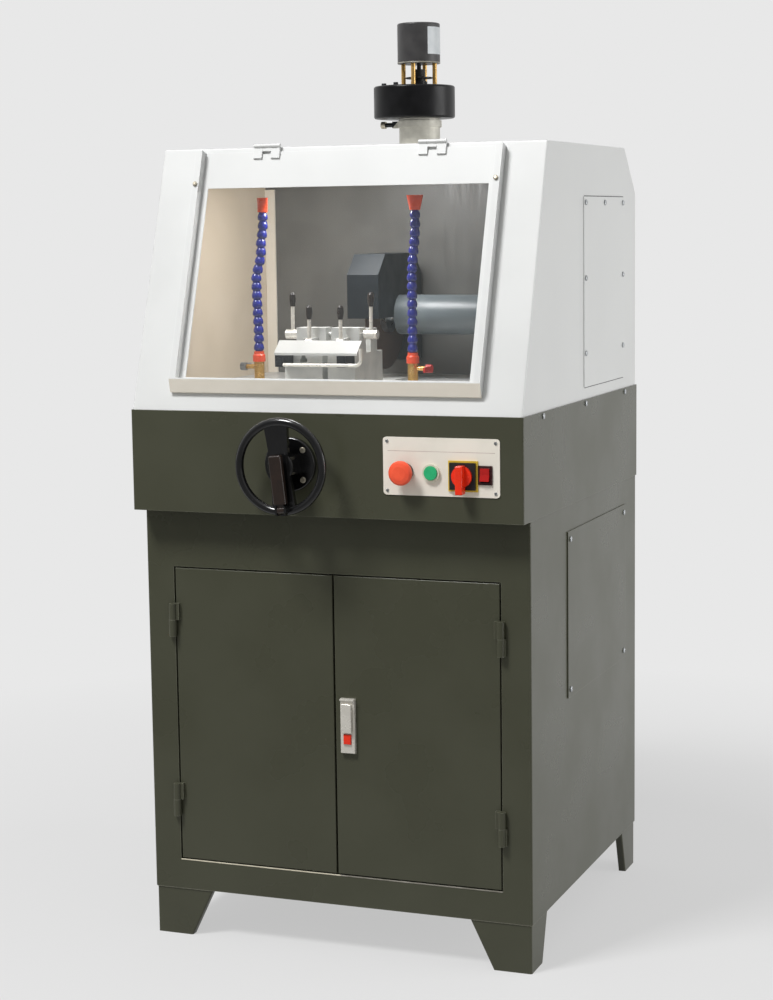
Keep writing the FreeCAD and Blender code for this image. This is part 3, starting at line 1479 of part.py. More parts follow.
def clamp_blocks():
    """Two clamp blocks with the axle of the outer levers."""
    half = TABLE_SLOT / 2
    y = FRONT + CLAMP_BACK
    blocks = []
    sides = ((-1, CUT_X - CLAMP_LEFT, CUT_X - half), (1, CUT_X + half, CUT_X + CLAMP_RIGHT))
    for side, x0, x1 in sides:
        body = block(x0, x1, y, y + CLAMP_T, TABLE_Z, TABLE_Z + CLAMP_H)
        body = fused([body] + lever_lugs(CUT_X + side * INNER_LEVER_X))
        blocks.append(body.cut(rod(V(x0 - 1, AXLE_Y, AXLE_Z), X_AXIS, AXLE_R + RUN_FIT, x1 - x0 + 2)))
    reach = OUTER_LEVER_X + OUTER_HUB_W / 2
    blocks.append(rod(V(CUT_X - reach, AXLE_Y, AXLE_Z), X_AXIS, AXLE_R, 2 * reach))
    return group(blocks)


def rear_jaws():
    """Two fixed jaws behind the clamp blocks."""
    y = FRONT + JAW_BACK
    half = TABLE_SLOT / 2
    sides = ((CUT_X - CLAMP_LEFT, CUT_X - half), (CUT_X + half, CUT_X + TABLE_RIGHT))
    return group([block(x0, x1, y, y + JAW_T, TABLE_Z, TABLE_Z + JAW_H) for x0, x1 in sides])


def clamp_bar():
    """Angled bar across the front of the table."""
    y0 = FRONT + BAR_BACK
    y1 = y0 + BAR_D
    z0 = TABLE_Z
    outline = [(y0, z0), (y1, z0), (y1, z0 + BAR_H), (y1 - SHEET, z0 + BAR_H), (y0, z0 + BAR_FOOT_H)]
    return side_prism(outline, CUT_X - BAR_HALF, CUT_X + BAR_HALF)


def bar_arms():
    """Two brackets on the table's front that carry the bar."""
    y0 = FRONT + BAR_BACK
    y1 = FRONT + TABLE_BACK
    arms = []
    for x in (CUT_X - TABLE_LEFT, CUT_X + TABLE_RIGHT - BAR_ARM_W):
        arms.append(block(x, x + BAR_ARM_W, y0, y1, TABLE_Z - BAR_ARM_H, TABLE_Z))
    return group(arms)


def bent_rod():
    """Bright rod in front of the table, turned up at its right end."""
    y = FRONT + BAR_BACK - BEND_R
    z = TABLE_Z - BEND_DROP
    x0 = CUT_X - BEND_LEFT
    x1 = CUT_X + BEND_RIGHT
    corner = BEND_CORNER
    run = Part.makeLine(V(x0, y, z), V(x1 - corner, y, z))
    mid = V(x1 - corner + corner * math.sin(math.pi / 4), y, z + corner - corner * math.cos(math.pi / 4))
    turn = Part.Arc(V(x1 - corner, y, z), mid, V(x1, y, z + corner)).toShape()
    rise = Part.makeLine(V(x1, y, z + corner), V(x1, y, z + BEND_RISE))
    section = Part.Wire(Part.makeCircle(BEND_R, V(x0, y, z), X_AXIS))
    return Part.Wire([run, turn, rise]).makePipeShell([section], True, False)


def lever(x, y, z, hub_r, hub_w, bore_r, length):
    """Upright clamp lever: hub across the machine, arm and long knob."""
    hub = rod(V(x - hub_w / 2, y, z), X_AXIS, hub_r, hub_w)
    knob_z = length - LEVER_KNOB_H
    arm = rod(V(x, y, z), Z_AXIS, LEVER_ARM_R, knob_z + LEVER_KNOB_H / 2)
    profile = [
        (0, knob_z),
        (LEVER_KNOB_R * 0.7, knob_z),
        (LEVER_KNOB_R, knob_z + LEVER_KNOB_H * 0.5),
        (LEVER_KNOB_R * 0.9, knob_z + LEVER_KNOB_H * 0.85),
        (LEVER_KNOB_R * 0.5, length),
        (0, length),
    ]
    knob = turned(profile, V(x, y, z), Z_AXIS)
    bore = rod(V(x - hub_w, y, z), X_AXIS, bore_r + RUN_FIT, 2 * hub_w)
    return fused([hub, arm, knob]).cut(bore)


def outer_lever(side):
    """Lever on one end of the clamp axle."""
    x = CUT_X + side * OUTER_LEVER_X
    return lever(x, AXLE_Y, AXLE_Z, OUTER_HUB_R, OUTER_HUB_W, AXLE_R, OUTER_LEVER_L)


def inner_lever(side):
    """Lever on the pin in front of one clamp block."""
    x = CUT_X + side * INNER_LEVER_X
    return lever(x, INNER_Y, INNER_Z, INNER_HUB_R, INNER_HUB_W, INNER_PIN_R, INNER_LEVER_L)


# Spindle and wheel


def spindle_rod(x0, x1, radius):
    """Cylinder on the spindle's axis between two planes."""
    return rod(V(x0, SPINDLE_Y, SPINDLE_Z), X_AXIS, radius, x1 - x0)


def flange_face():
    """Wheel's face from the cutting plane."""
    return WHEEL_T / 2


def spindle_shaft():
    """Spindle from its outer end past the wheel to the pulley."""
    left = CUT_X - flange_face() - FLANGE_T - SPINDLE_NUT_T - SPINDLE_END
    return spindle_rod(left, BELT_X + PULLEY_W / 2 + SPINDLE_END, SPINDLE_R)


def wheel_flanges():
    """Clamping flanges either side of the wheel, and the nut."""
    near = flange_face()
    far = near + FLANGE_T
    nut_x = CUT_X - far - SPINDLE_NUT_T
    pieces = [
        spindle_rod(CUT_X + near, CUT_X + far, FLANGE_R),
        spindle_rod(CUT_X - far, CUT_X - near, FLANGE_R),
        spindle_rod(nut_x, CUT_X - far, SPINDLE_NUT_R),
    ]
    bore = spindle_rod(nut_x - 1, CUT_X + far + 1, SPINDLE_R + RUN_FIT)
    return group([piece.cut(bore) for piece in pieces])


def abrasive_wheel():
    """Thin cut-off wheel."""
    near = flange_face()
    bore = spindle_rod(CUT_X - near, CUT_X + near, SPINDLE_R + RUN_FIT)
    return spindle_rod(CUT_X - near, CUT_X + near, WHEEL_R).cut(bore)


def pulley(x, y, z, rim_r, bore_r):
    """Grooved pulley turned about the belt's middle plane."""
    half = PULLEY_W / 2
    groove = BELT_W / 2 + CLEAR
    floor = rim_r - PULLEY_LIP - BELT_T - CLEAR
    profile = [
        (bore_r, -half),
        (rim_r, -half),
        (rim_r, -groove),
        (floor, -groove),
        (floor, groove),
        (rim_r, groove),
        (rim_r, half),
        (bore_r, half),
    ]
    return turned(profile, V(x, y, z), X_AXIS)


def spindle_pulley():
    """Pulley on the spindle."""
    return pulley(BELT_X, SPINDLE_Y, SPINDLE_Z, SPINDLE_PULLEY_R, SPINDLE_R + RUN_FIT)


def motor_pulley():
    """Pulley on the motor's shaft."""
    return pulley(BELT_X, SPINDLE_Y, MOTOR_Z, MOTOR_PULLEY_R, MOTOR_SHAFT_R + RUN_FIT)


def motor_shaft():
    """Motor's shaft out of its end shield."""
    start = BELT_X - MOTOR_GAP - HOUSING_FLANGE_T
    length = BELT_X + PULLEY_W / 2 + SPINDLE_END - start
    return rod(V(start, SPINDLE_Y, MOTOR_Z), X_AXIS, MOTOR_SHAFT_R, length)


def belt_loop(grow):
    """Filled outline of the belt, grown from its inner face."""
    r1 = SPINDLE_PULLEY_R - PULLEY_LIP - BELT_T + grow
    r2 = MOTOR_PULLEY_R - PULLEY_LIP - BELT_T + grow
    nz = (r1 - r2) / MOTOR_DROP
    ny = math.sqrt(1 - nz * nz)
    x = BELT_X - BELT_W / 2
    upper = [V(x, SPINDLE_Y + side * r1 * ny, SPINDLE_Z + r1 * nz) for side in (1, -1)]
    lower = [V(x, SPINDLE_Y + side * r2 * ny, MOTOR_Z + r2 * nz) for side in (1, -1)]
    top = Part.Arc(upper[0], V(x, SPINDLE_Y, SPINDLE_Z + r1), upper[1]).toShape()
    low = Part.Arc(lower[1], V(x, SPINDLE_Y, MOTOR_Z - r2), lower[0]).toShape()
    edges = [top, Part.makeLine(upper[1], lower[1]), low, Part.makeLine(lower[0], upper[0])]
    return Part.Face(Part.Wire(edges)).extrude(V(BELT_W, 0, 0))


def drive_belt():
    """Belt round both pulleys."""
    return belt_loop(BELT_T).cut(belt_loop(0))


def spindle_housing():
    """Housing between the guard and the drive wall, bored for the bearings."""
    left = CUT_X + GUARD_HALF
    body = spindle_rod(left, WALL_X, HOUSING_R)
    flange = spindle_rod(WALL_X - HOUSING_FLANGE_T, WALL_X, HOUSING_FLANGE_R)
    bore = spindle_rod(left - 1, WALL_X + 1, BEARING_R + RUN_FIT)
    return fused([body, flange]).cut(bore)


def spindle_bearings():
    """Two bearings at the ends of the housing."""
    left = CUT_X + GUARD_HALF
    bearings = []
    for x in (left, WALL_X - BEARING_W):
        ring = spindle_rod(x, x + BEARING_W, BEARING_R)
        bearings.append(ring.cut(spindle_rod(x, x + BEARING_W, SPINDLE_R + RUN_FIT)))
    return group(bearings)


def guard_outline(grow):
    """Side view of the wheel guard, grown from its inside."""
    reach = WHEEL_R + GUARD_ROOM + grow
    y0 = SPINDLE_Y - reach
    y1 = SPINDLE_Y + reach
    top = SPINDLE_Z + reach
    cut = GUARD_CHAMFER
    return [
        (y0, SPINDLE_Z - GUARD_FRONT_LOW),
        (SPINDLE_Y, SPINDLE_Z - GUARD_FRONT_LOW),
        (y1, SPINDLE_Z - GUARD_REAR_LOW),
        (y1, top - cut),
        (y1 - cut, top),
        (y0 + cut, top),
        (y0, top - cut),
    ]


def wheel_guard():
    """Chamfered box over the wheel, open below and in front."""
    outer = side_prism(guard_outline(SHEET), CUT_X - GUARD_HALF, CUT_X + GUARD_HALF)
    half = GUARD_HALF - SHEET
    inner = side_prism(guard_outline(0), CUT_X - half, CUT_X + half)
    mouth = inner.copy()
    mouth.translate(V(0, 0, -2 * SHEET))
    access = spindle_rod(CUT_X - 2 * GUARD_HALF, CUT_X, GUARD_HOLE_R)
    shaft = spindle_rod(CUT_X, CUT_X + 2 * GUARD_HALF, SHAFT_HOLE_R)
    return cut_all(outer, [inner, mouth, access, shaft])


def belt_guard():
    """Drive wall on the feed case floor with the belt's cover beside it."""
    y0 = SPINDLE_Y - WALL_FRONT - SHEET
    y1 = SPLASH_Y - NEST
    top = SPINDLE_Z + SPINDLE_PULLEY_R + 3 * PASS
    wall = block(WALL_X, WALL_X + WALL_T, y0, y1, CASE_Z + SHEET, top)
    x1 = HOOD_X + PLATE_T - SCREW_L - CLEAR
    front = block(WALL_X, x1, y0, y0 + SHEET, TRAY_Z, top)
    lid = block(WALL_X, x1, y0, y1, top - SHEET, top)
    hole = spindle_rod(WALL_X - 1, WALL_X + WALL_T + 1, SHAFT_HOLE_R)
    return fused([wall, front, lid]).cut(hole)


def drive_motor():
    """Motor with its foot, terminal box and fan cowl."""
    x1 = BELT_X - MOTOR_GAP
    x0 = x1 - MOTOR_L
    axis = V(x0, SPINDLE_Y, MOTOR_Z)
    body = rod(axis, X_AXIS, MOTOR_R, MOTOR_L)
    half = MOTOR_FOOT_W / 2
    mid = (x0 + x1) / 2
    foot_x = mid - MOTOR_FOOT_L / 2
    foot_x1 = foot_x + MOTOR_FOOT_L
    foot = block(foot_x, foot_x1, SPINDLE_Y - half, SPINDLE_Y + half, SHELF_Z, MOTOR_Z - MOTOR_R / 2)
    half = MOTOR_BOX / 2
    top = MOTOR_Z + MOTOR_R
    box = block(mid - half, mid + half, SPINDLE_Y - half, SPINDLE_Y + half, MOTOR_Z, top + MOTOR_BOX_H)
    end = V(x1 - HOUSING_FLANGE_T, SPINDLE_Y, MOTOR_Z)
    bore = rod(end, X_AXIS, MOTOR_SHAFT_R + RUN_FIT, HOUSING_FLANGE_T)
    cowl = rod(V(x0 - COWL_L, SPINDLE_Y, MOTOR_Z), X_AXIS, MOTOR_R - SHEET, COWL_L)
    cowl = rounded(cowl, FOLD_R, lambda edge: edge.BoundBox.XMax < x0 - 1)
    return group([fused([body, foot, box]).cut(bore), cowl])


def motor_shelf():
    """Shelf between the cabinet's side walls, with a lip along its front and back."""
    x = CAB_X - SHEET
    y0 = FRONT + SHELF_BACK
    y1 = y0 + SHELF_L
    plate = block(-x, x, y0, y1, SHELF_Z - SHELF_T, SHELF_Z)
    low = SHELF_Z - SHELF_LIP
    lips = [block(-x, x, y, y + SHELF_T, low, SHELF_Z) for y in (y0, y1 - SHELF_T)]
    return fused([plate] + lips)


# Chamber


def tray_drain(radius, z0, z1):
    """Cylinder on the drain's axis."""
    return rod(V(DRAIN_X, FRONT + DRAIN_BACK, z0), Z_AXIS, radius, z1 - z0)


def chamber_tray():
    """Floor of the cutting chamber with folded-down edges and its slots and holes."""
    x = HOOD_X - SHEET - NEST
    y0 = FRONT + TRAY_FRONT
    y1 = SPLASH_Y + TRAY_LAP
    z0 = TRAY_Z - TRAY_T
    plate = block(-x, x, y0, y1, z0, TRAY_Z)
    rims = []
    for edge in (-x, x):
        inner = edge - math.copysign(TRAY_T, edge)
        rims.append(block(min(edge, inner), max(edge, inner), y0, y1, TRAY_Z - TRAY_RIM, TRAY_Z))
    half = POST_W / 2 + SLOT_ROOM
    front = FRONT + CARRIAGE_BACK - SLOT_ROOM
    length = CARRIAGE_L + FEED_TRAVEL + 2 * SLOT_ROOM
    low = TRAY_Z - 2 * TRAY_RIM
    slot = block(CUT_X - half, CUT_X + half, front, front + length, low, TRAY_Z + 1)
    wall_y = SPINDLE_Y - WALL_FRONT - SHEET - NEST
    drive = block(WALL_X - NEST, CASE_X, wall_y, SPLASH_Y, low, TRAY_Z + 1)
    tools = [slot, drive, tray_drain(DRAIN_R - PIPE_WALL, low, TRAY_Z + 1)]
    for side in (-1, 1):
        foot = V(CUT_X + side * HOSE_SPREAD, HOSE_Y, low)
        tools.append(rod(foot, Z_AXIS, PIPE_R + HOLE_PLAY, 3 * TRAY_RIM))
    return cut_all(fused([plate] + rims), tools)


def splash_panel():
    """Bright panel across the back of the chamber."""
    x = HOOD_X - SHEET - NEST
    return block(-x, x, SPLASH_Y, SPLASH_Y + SPLASH_T, TRAY_Z, TRAY_Z + SPLASH_H)


def splash_strip():
    """White strip up the panel's left edge."""
    x = -HOOD_X + SHEET + NEST
    return block(x, x + STRIP_W, SPLASH_Y - STRIP_T, SPLASH_Y, TRAY_Z, TRAY_Z + STRIP_H)


# Coolant


def tank_inside():
    """Tank's left edge, front edge and floor."""
    return -TANK_LEFT, FRONT + TANK_BACK, CAB_Z + SHEET


def pump_point():
    """Pump's axis at the tank's top."""
    return V(CUT_X - HOSE_SPREAD - PUMP_OFFSET, HOSE_Y, TANK_TOP)


def coolant_tank():
    """Closed tank with a pump hole and a return opening in its top."""
    x, y, z = tank_inside()
    wall = TANK_WALL
    outer = block(x, x + TANK_W, y, y + TANK_D, z, TANK_TOP)
    inner = block(x + wall, x + TANK_W - wall, y + wall, y + TANK_D - wall, z + wall, TANK_TOP - wall)
    pump = rod(pump_point() - Z_AXIS * 2 * wall, Z_AXIS, PUMP_TUBE_R + PASS, 4 * wall)
    half = TANK_PORT / 2
    dy = FRONT + DRAIN_BACK
    port = block(DRAIN_X - half, DRAIN_X + half, dy - half, dy + half, TANK_TOP - 2 * wall, TANK_TOP + 1)
    return cut_all(outer, [inner, pump, port])


def coolant_pump():
    """Immersion pump: tube in the tank, flange on its top, motor above."""
    profile = [
        (0, -PUMP_TUBE_L),
        (PUMP_TUBE_R, -PUMP_TUBE_L),
        (PUMP_TUBE_R, 0),
        (PUMP_FLANGE_R, 0),
        (PUMP_FLANGE_R, PUMP_FLANGE_T),
        (PUMP_R * 0.96, PUMP_FLANGE_T),
        (PUMP_R * 0.96, PUMP_H),
        (0, PUMP_H),
    ]
    pump = turned(profile, pump_point(), Z_AXIS)
    return pump.cut(pipe(V(pump_point().x + PUMP_OFFSET, HOSE_Y, TANK_TOP), Z_AXIS, PUMP_H, HOLE_PLAY))


def pipe(start, axis, length, grow=0.0):
    """Straight run of delivery pipe."""
    return rod(start, axis, PIPE_R + grow, length)


def coolant_pipes():
    """Delivery pipe from the pump to both valves, under the tray."""
    left = CUT_X - HOSE_SPREAD
    right = CUT_X + HOSE_SPREAD
    z = TRAY_Z - PIPE_DROP
    y = FRONT + PIPE_FRONT
    run = HOSE_Y - y
    pieces = [
        pipe(V(left, HOSE_Y, TANK_TOP), Z_AXIS, TRAY_Z - TANK_TOP),
        pipe(V(left, HOSE_Y, z), Y_AXIS * -1, run),
        pipe(V(left, y, z), X_AXIS, right - left),
        pipe(V(right, y, z), Y_AXIS, run),
        pipe(V(right, HOSE_Y, z), Z_AXIS, PIPE_DROP),
    ]
    for x, at in ((left, y), (right, y), (right, HOSE_Y)):
        pieces.append(Part.makeSphere(PIPE_R, V(x, at, z)))
    bore = rod(V(left, HOSE_Y, TANK_TOP), Z_AXIS, PIPE_R - PIPE_WALL, TRAY_Z - TANK_TOP)
    return fused(pieces).cut(bore)


def drain_pipe():
    """Straight drain from the tray into the tank's opening."""
    low = TANK_TOP - DRAIN_DIP
    high = TRAY_Z - TRAY_T
    return tray_drain(DRAIN_R, low, high).cut(tray_drain(DRAIN_R - PIPE_WALL, low, high))


def valve_stem_z():
    """Height of the valve's stem."""
    return TRAY_Z + VALVE_STEM_UP


def valve_body(side):
    """Brass valve on the tray with a stem to the outside."""
    x = CUT_X + side * HOSE_SPREAD
    base = V(x, HOSE_Y, TRAY_Z)
    profile = [
        (LINK_BORE_R, 0),
        (VALVE_NUT_R, 0),
        (VALVE_NUT_R, VALVE_NUT_H),
        (VALVE_R, VALVE_NUT_H),
        (VALVE_R, VALVE_H),
        (LINK_BORE_R, VALVE_H),
    ]
    stem = rod(V(x, HOSE_Y, valve_stem_z()), X_AXIS * side, VALVE_STEM_R, VALVE_R + VALVE_STEM_L)
    return fused([turned(profile, base, Z_AXIS), stem])


def valve_bodies():
    """Both valves."""
    return group([valve_body(-1), valve_body(1)])


def valve_lever(side):
    """Lever on the end of a valve's stem; the right one points forward, the left one back."""
    x0 = CUT_X + side * (HOSE_SPREAD + VALVE_R + VALVE_STEM_L - VALVE_LEVER_R)
    z = valve_stem_z()
    axis = X_AXIS * side
    hub = rod(V(x0, HOSE_Y, z), axis, VALVE_LEVER_R, VALVE_LEVER_R + VALVE_LEVER_T)
    cap_x = x0 + side * VALVE_LEVER_R
    far = cap_x + side * VALVE_LEVER_T
    tip = HOSE_Y - side * VALVE_LEVER_L
    half = VALVE_LEVER_W / 2
    ys = sorted((tip, HOSE_Y))
    arm = block(min(cap_x, far), max(cap_x, far), ys[0], ys[1], z - half, z + half)
    bore = rod(V(x0, HOSE_Y, z), axis, VALVE_STEM_R + RUN_FIT, VALVE_LEVER_R)
    return fused([hub, arm]).cut(bore)


def hose_lean(side, up):
    """Sideways place of a hose at a height and its slope there; both ends run straight."""
    height = HOSE_TOP - HOSE_Z
    stations = HOSE_LEANS[side]
    lean = stations[0][1]
    slope = 0.0
    for (low, start), (high, end) in zip(stations, stations[1:]):
        share = min(max((up / height - low) / (high - low), 0.0), 1.0)
        lean += (end - start) * (1 - math.cos(math.pi * share)) / 2
        slope += (end - start) * math.sin(math.pi * share) * math.pi / 2 / (high - low) / height
    return CUT_X + side * HOSE_SPREAD + lean, slope


def hose_ring(side, up, radius):
    """Circle round the hose's centre line at a height above its foot, square to that line."""
    x, slope = hose_lean(side, up)
    circle = Part.Wire(Part.makeCircle(radius))
    turn = FreeCAD.Rotation(Z_AXIS, V(slope, 0, 1))
    circle.Placement = FreeCAD.Placement(V(x, HOSE_Y, HOSE_Z + up), turn)
    return circle


def coolant_hose(side):
    """Hose of ball-and-socket links: four circles to a link, with a bore."""
    link = ((0.0, LINK_WAIST_R), (0.2, LINK_R), (0.75, LINK_R), (0.93, LINK_WAIST_R))
    steps = [((i + at) * LINK_PITCH, radius) for i in range(LINK_COUNT) for at, radius in link]
    steps.append((LINK_COUNT * LINK_PITCH, LINK_R))
    skin = Part.makeLoft([hose_ring(side, up, radius) for up, radius in steps], True, True)
    rings = [hose_ring(side, i * LINK_PITCH, LINK_BORE_R) for i in range(LINK_COUNT + 1)]
    return skin.cut(Part.makeLoft(rings, True, True))


def coolant_hoses():
    """Both hoses."""
    return group([coolant_hose(-1), coolant_hose(1)])


def hose_adapter(side):
    """Collar between a valve and its hose."""
    base = V(CUT_X + side * HOSE_SPREAD, HOSE_Y, TRAY_Z + VALVE_H)
    profile = [
        (LINK_BORE_R, 0),
        (ADAPTER_R, 0),
        (ADAPTER_R, ADAPTER_H * 0.6),
        (LINK_R, ADAPTER_H * 0.75),
        (LINK_R, ADAPTER_H),
        (LINK_BORE_R, ADAPTER_H),
    ]
    return turned(profile, base, Z_AXIS)


def nozzle_skin(side, shrink):
    """Flared nozzle from a round foot to a flat oval mouth, with its walls moved inward."""
    x = hose_lean(side, HOSE_TOP - HOSE_Z)[0]
    foot = Part.Wire(Part.makeCircle(LINK_R - shrink, V(x, HOSE_Y, HOSE_TOP)))
    oval = Part.Ellipse(V(x, HOSE_Y, HOSE_TOP + NOZZLE_H), NOZZLE_W / 2 - shrink, NOZZLE_T / 2 - shrink)
    return Part.makeLoft([foot, Part.Wire(oval.toShape())], True, True)


def hose_nozzle(side):
    """Hollow flared nozzle, turned about its hose."""
    made = nozzle_skin(side, 0).cut(nozzle_skin(side, NOZZLE_WALL))
    x = hose_lean(side, HOSE_TOP - HOSE_Z)[0]
    made.rotate(V(x, HOSE_Y, 0), Z_AXIS, NOZZLE_TURNS[side])
    return made


def hose_nozzles():
    """Both nozzles."""
    return group([hose_nozzle(-1), hose_nozzle(1)])


def hose_adapters():
    """Both adapters."""
    return group([hose_adapter(-1), hose_adapter(1)])


# Extraction fan


def fan_rod(z0, z1, radius):
    """Cylinder on the fan's axis between two levels."""
    return rod(V(FAN_X, FAN_Y, z0), Z_AXIS, radius, z1 - z0)


def fan_duct():
    """Duct with a foot ring on the hood."""
    foot = fan_rod(TOP_Z, TOP_Z + DUCT_FOOT_T, DUCT_FOOT_R)
    duct = fan_rod(TOP_Z, VOLUTE_Z, DUCT_R)
    return fused([foot, duct]).cut(fan_rod(TOP_Z, VOLUTE_Z, DUCT_R - DUCT_WALL))


def duct_clamp():
    """Band round the duct's upper end, with a boss and its clamping screw to the left."""
    z1 = VOLUTE_Z - BAND_DROP
    z0 = z1 - BAND_H
    outer = DUCT_R + HOLE_PLAY + BAND_T
    half = BAND_LUG / 2
    lug = block(FAN_X - outer - BAND_LUG, FAN_X - DUCT_R, FAN_Y - half, FAN_Y + half, z0, z1)
    band = fan_rod(z0, z1, outer).fuse(lug).cut(fan_rod(z0, z1, DUCT_R + HOLE_PLAY))
    left = X_AXIS * -1
    start = V(FAN_X - DUCT_R - CLEAR, FAN_Y, (z0 + z1) / 2)
    bolt = rod(start, left, BAND_BOLT_R, BAND_BOLT_L)
    head = rod(start + left * (BAND_BOLT_L - BAND_HEAD_L), left, BAND_HEAD_R, BAND_HEAD_L)
    head = rounded(head, DOOR_R, lambda edge: edge.BoundBox.XMax < start.x - BAND_BOLT_L + DOOR_R)
    hole = rod(start + X_AXIS * BAND_T, left, BAND_BOLT_R + HOLE_PLAY, BAND_BOLT_L)
    return group([band.removeSplitter().cut(hole), bolt.fuse(head)])


def volute_axis(z):
    """Centre of the volute at a level, beside the fan's axis."""
    return V(FAN_X - VOLUTE_SHIFT, FAN_Y, z)


def fan_volute():
    """Scroll housing with its inlet, shaft hole and rear outlet."""
    body = rod(volute_axis(VOLUTE_Z), Z_AXIS, VOLUTE_R, VOLUTE_H)
    body = rounded(body, VOLUTE_R_EDGE, lambda edge: edge.BoundBox.ZLength < 1e-6)
    mid = VOLUTE_Z + VOLUTE_H / 2
    start = volute_axis(mid)
    reach = VOLUTE_R + OUTLET_L
    spigot = rod(start, Y_AXIS, OUTLET_R, reach)
    collar = rod(start, Y_AXIS, OUTLET_COLLAR_R, VOLUTE_R + OUTLET_COLLAR_L)
    wall = VOLUTE_WALL
    room = rod(volute_axis(VOLUTE_Z + wall), Z_AXIS, VOLUTE_R - wall, VOLUTE_H - 2 * wall)
    bore = rod(start, Y_AXIS, OUTLET_R - wall, reach + 1)
    inlet = fan_rod(VOLUTE_Z - 1, VOLUTE_Z + wall + 1, DUCT_R - DUCT_WALL)
    shaft = fan_rod(VOLUTE_Z + VOLUTE_H / 2, VOLUTE_Z + VOLUTE_H + 1, FAN_SHAFT_R + CLEAR)
    return cut_all(fused([body, spigot, collar]), [room, bore, inlet, shaft])


def fan_standoffs():
    """Pillars between the volute and the fan's motor."""
    posts = []
    for i in range(STANDOFFS):
        turn = math.radians(i * 360 / STANDOFFS)
        x = FAN_X + STANDOFF_RING_R * math.cos(turn)
        y = FAN_Y + STANDOFF_RING_R * math.sin(turn)
        posts.append(rod(V(x, y, VOLUTE_Z + VOLUTE_H), Z_AXIS, STANDOFF_R, STANDOFF_H))
    return group(posts)


def fan_motor():
    """Round fan motor with a bore for its shaft."""
    can = fan_rod(FAN_MOTOR_Z, FAN_MOTOR_Z + FAN_MOTOR_H, FAN_MOTOR_R)
    can = rounded(can, FAN_MOTOR_EDGE, lambda edge: edge.BoundBox.ZLength < 1e-6)
    return can.cut(fan_rod(FAN_MOTOR_Z, FAN_MOTOR_Z + FAN_SHAFT_IN + 1, FAN_SHAFT_R + RUN_FIT))


def fan_impeller():
    """Bladed impeller on the fan's shaft, with a coupling above the volute."""
    low = VOLUTE_Z + VOLUTE_H / 2 - BLADE_H / 2
    plate = fan_rod(low + BLADE_H - IMPELLER_T, low + BLADE_H, IMPELLER_R)
    shaft = fan_rod(low + BLADE_H - IMPELLER_T, FAN_MOTOR_Z + FAN_SHAFT_IN, FAN_SHAFT_R)
    seat = VOLUTE_Z + VOLUTE_H + STANDOFF_H / 2
    coupling = fan_rod(seat - COUPLING_H / 2, seat + COUPLING_H / 2, COUPLING_R)
    pieces = [plate, shaft, coupling]
    for i in range(BLADES):
        blade = block(BLADE_IN_R, IMPELLER_R - 1, -BLADE_T / 2, BLADE_T / 2, low, low + BLADE_H)
        blade.rotate(ORIGIN, Z_AXIS, i * 360 / BLADES)
        blade.translate(V(FAN_X, FAN_Y, 0))
        pieces.append(blade)
    return fused(pieces)


# Electrics


def electrics_plate():
    """Mounting plate on the cabinet's left wall with its row of devices."""
    x = -CAB_X + SHEET
    y = FRONT + ELEC_BACK
    z = CAB_Z + ELEC_UP
    pieces = [block(x, x + ELEC_T, y, y + ELEC_D, z, z + ELEC_H)]
    first = y + ELEC_D / 2 - DEVICE_STEP * (DEVICES - 1) / 2
    z0 = z + ELEC_H / 2 - DEVICE_H / 2
    for i in range(DEVICES):
        y0 = first + i * DEVICE_STEP - DEVICE_W / 2
        pieces.append(block(x + ELEC_T, x + ELEC_T + DEVICE_D, y0, y0 + DEVICE_W, z0, z0 + DEVICE_H))
    return group(pieces)


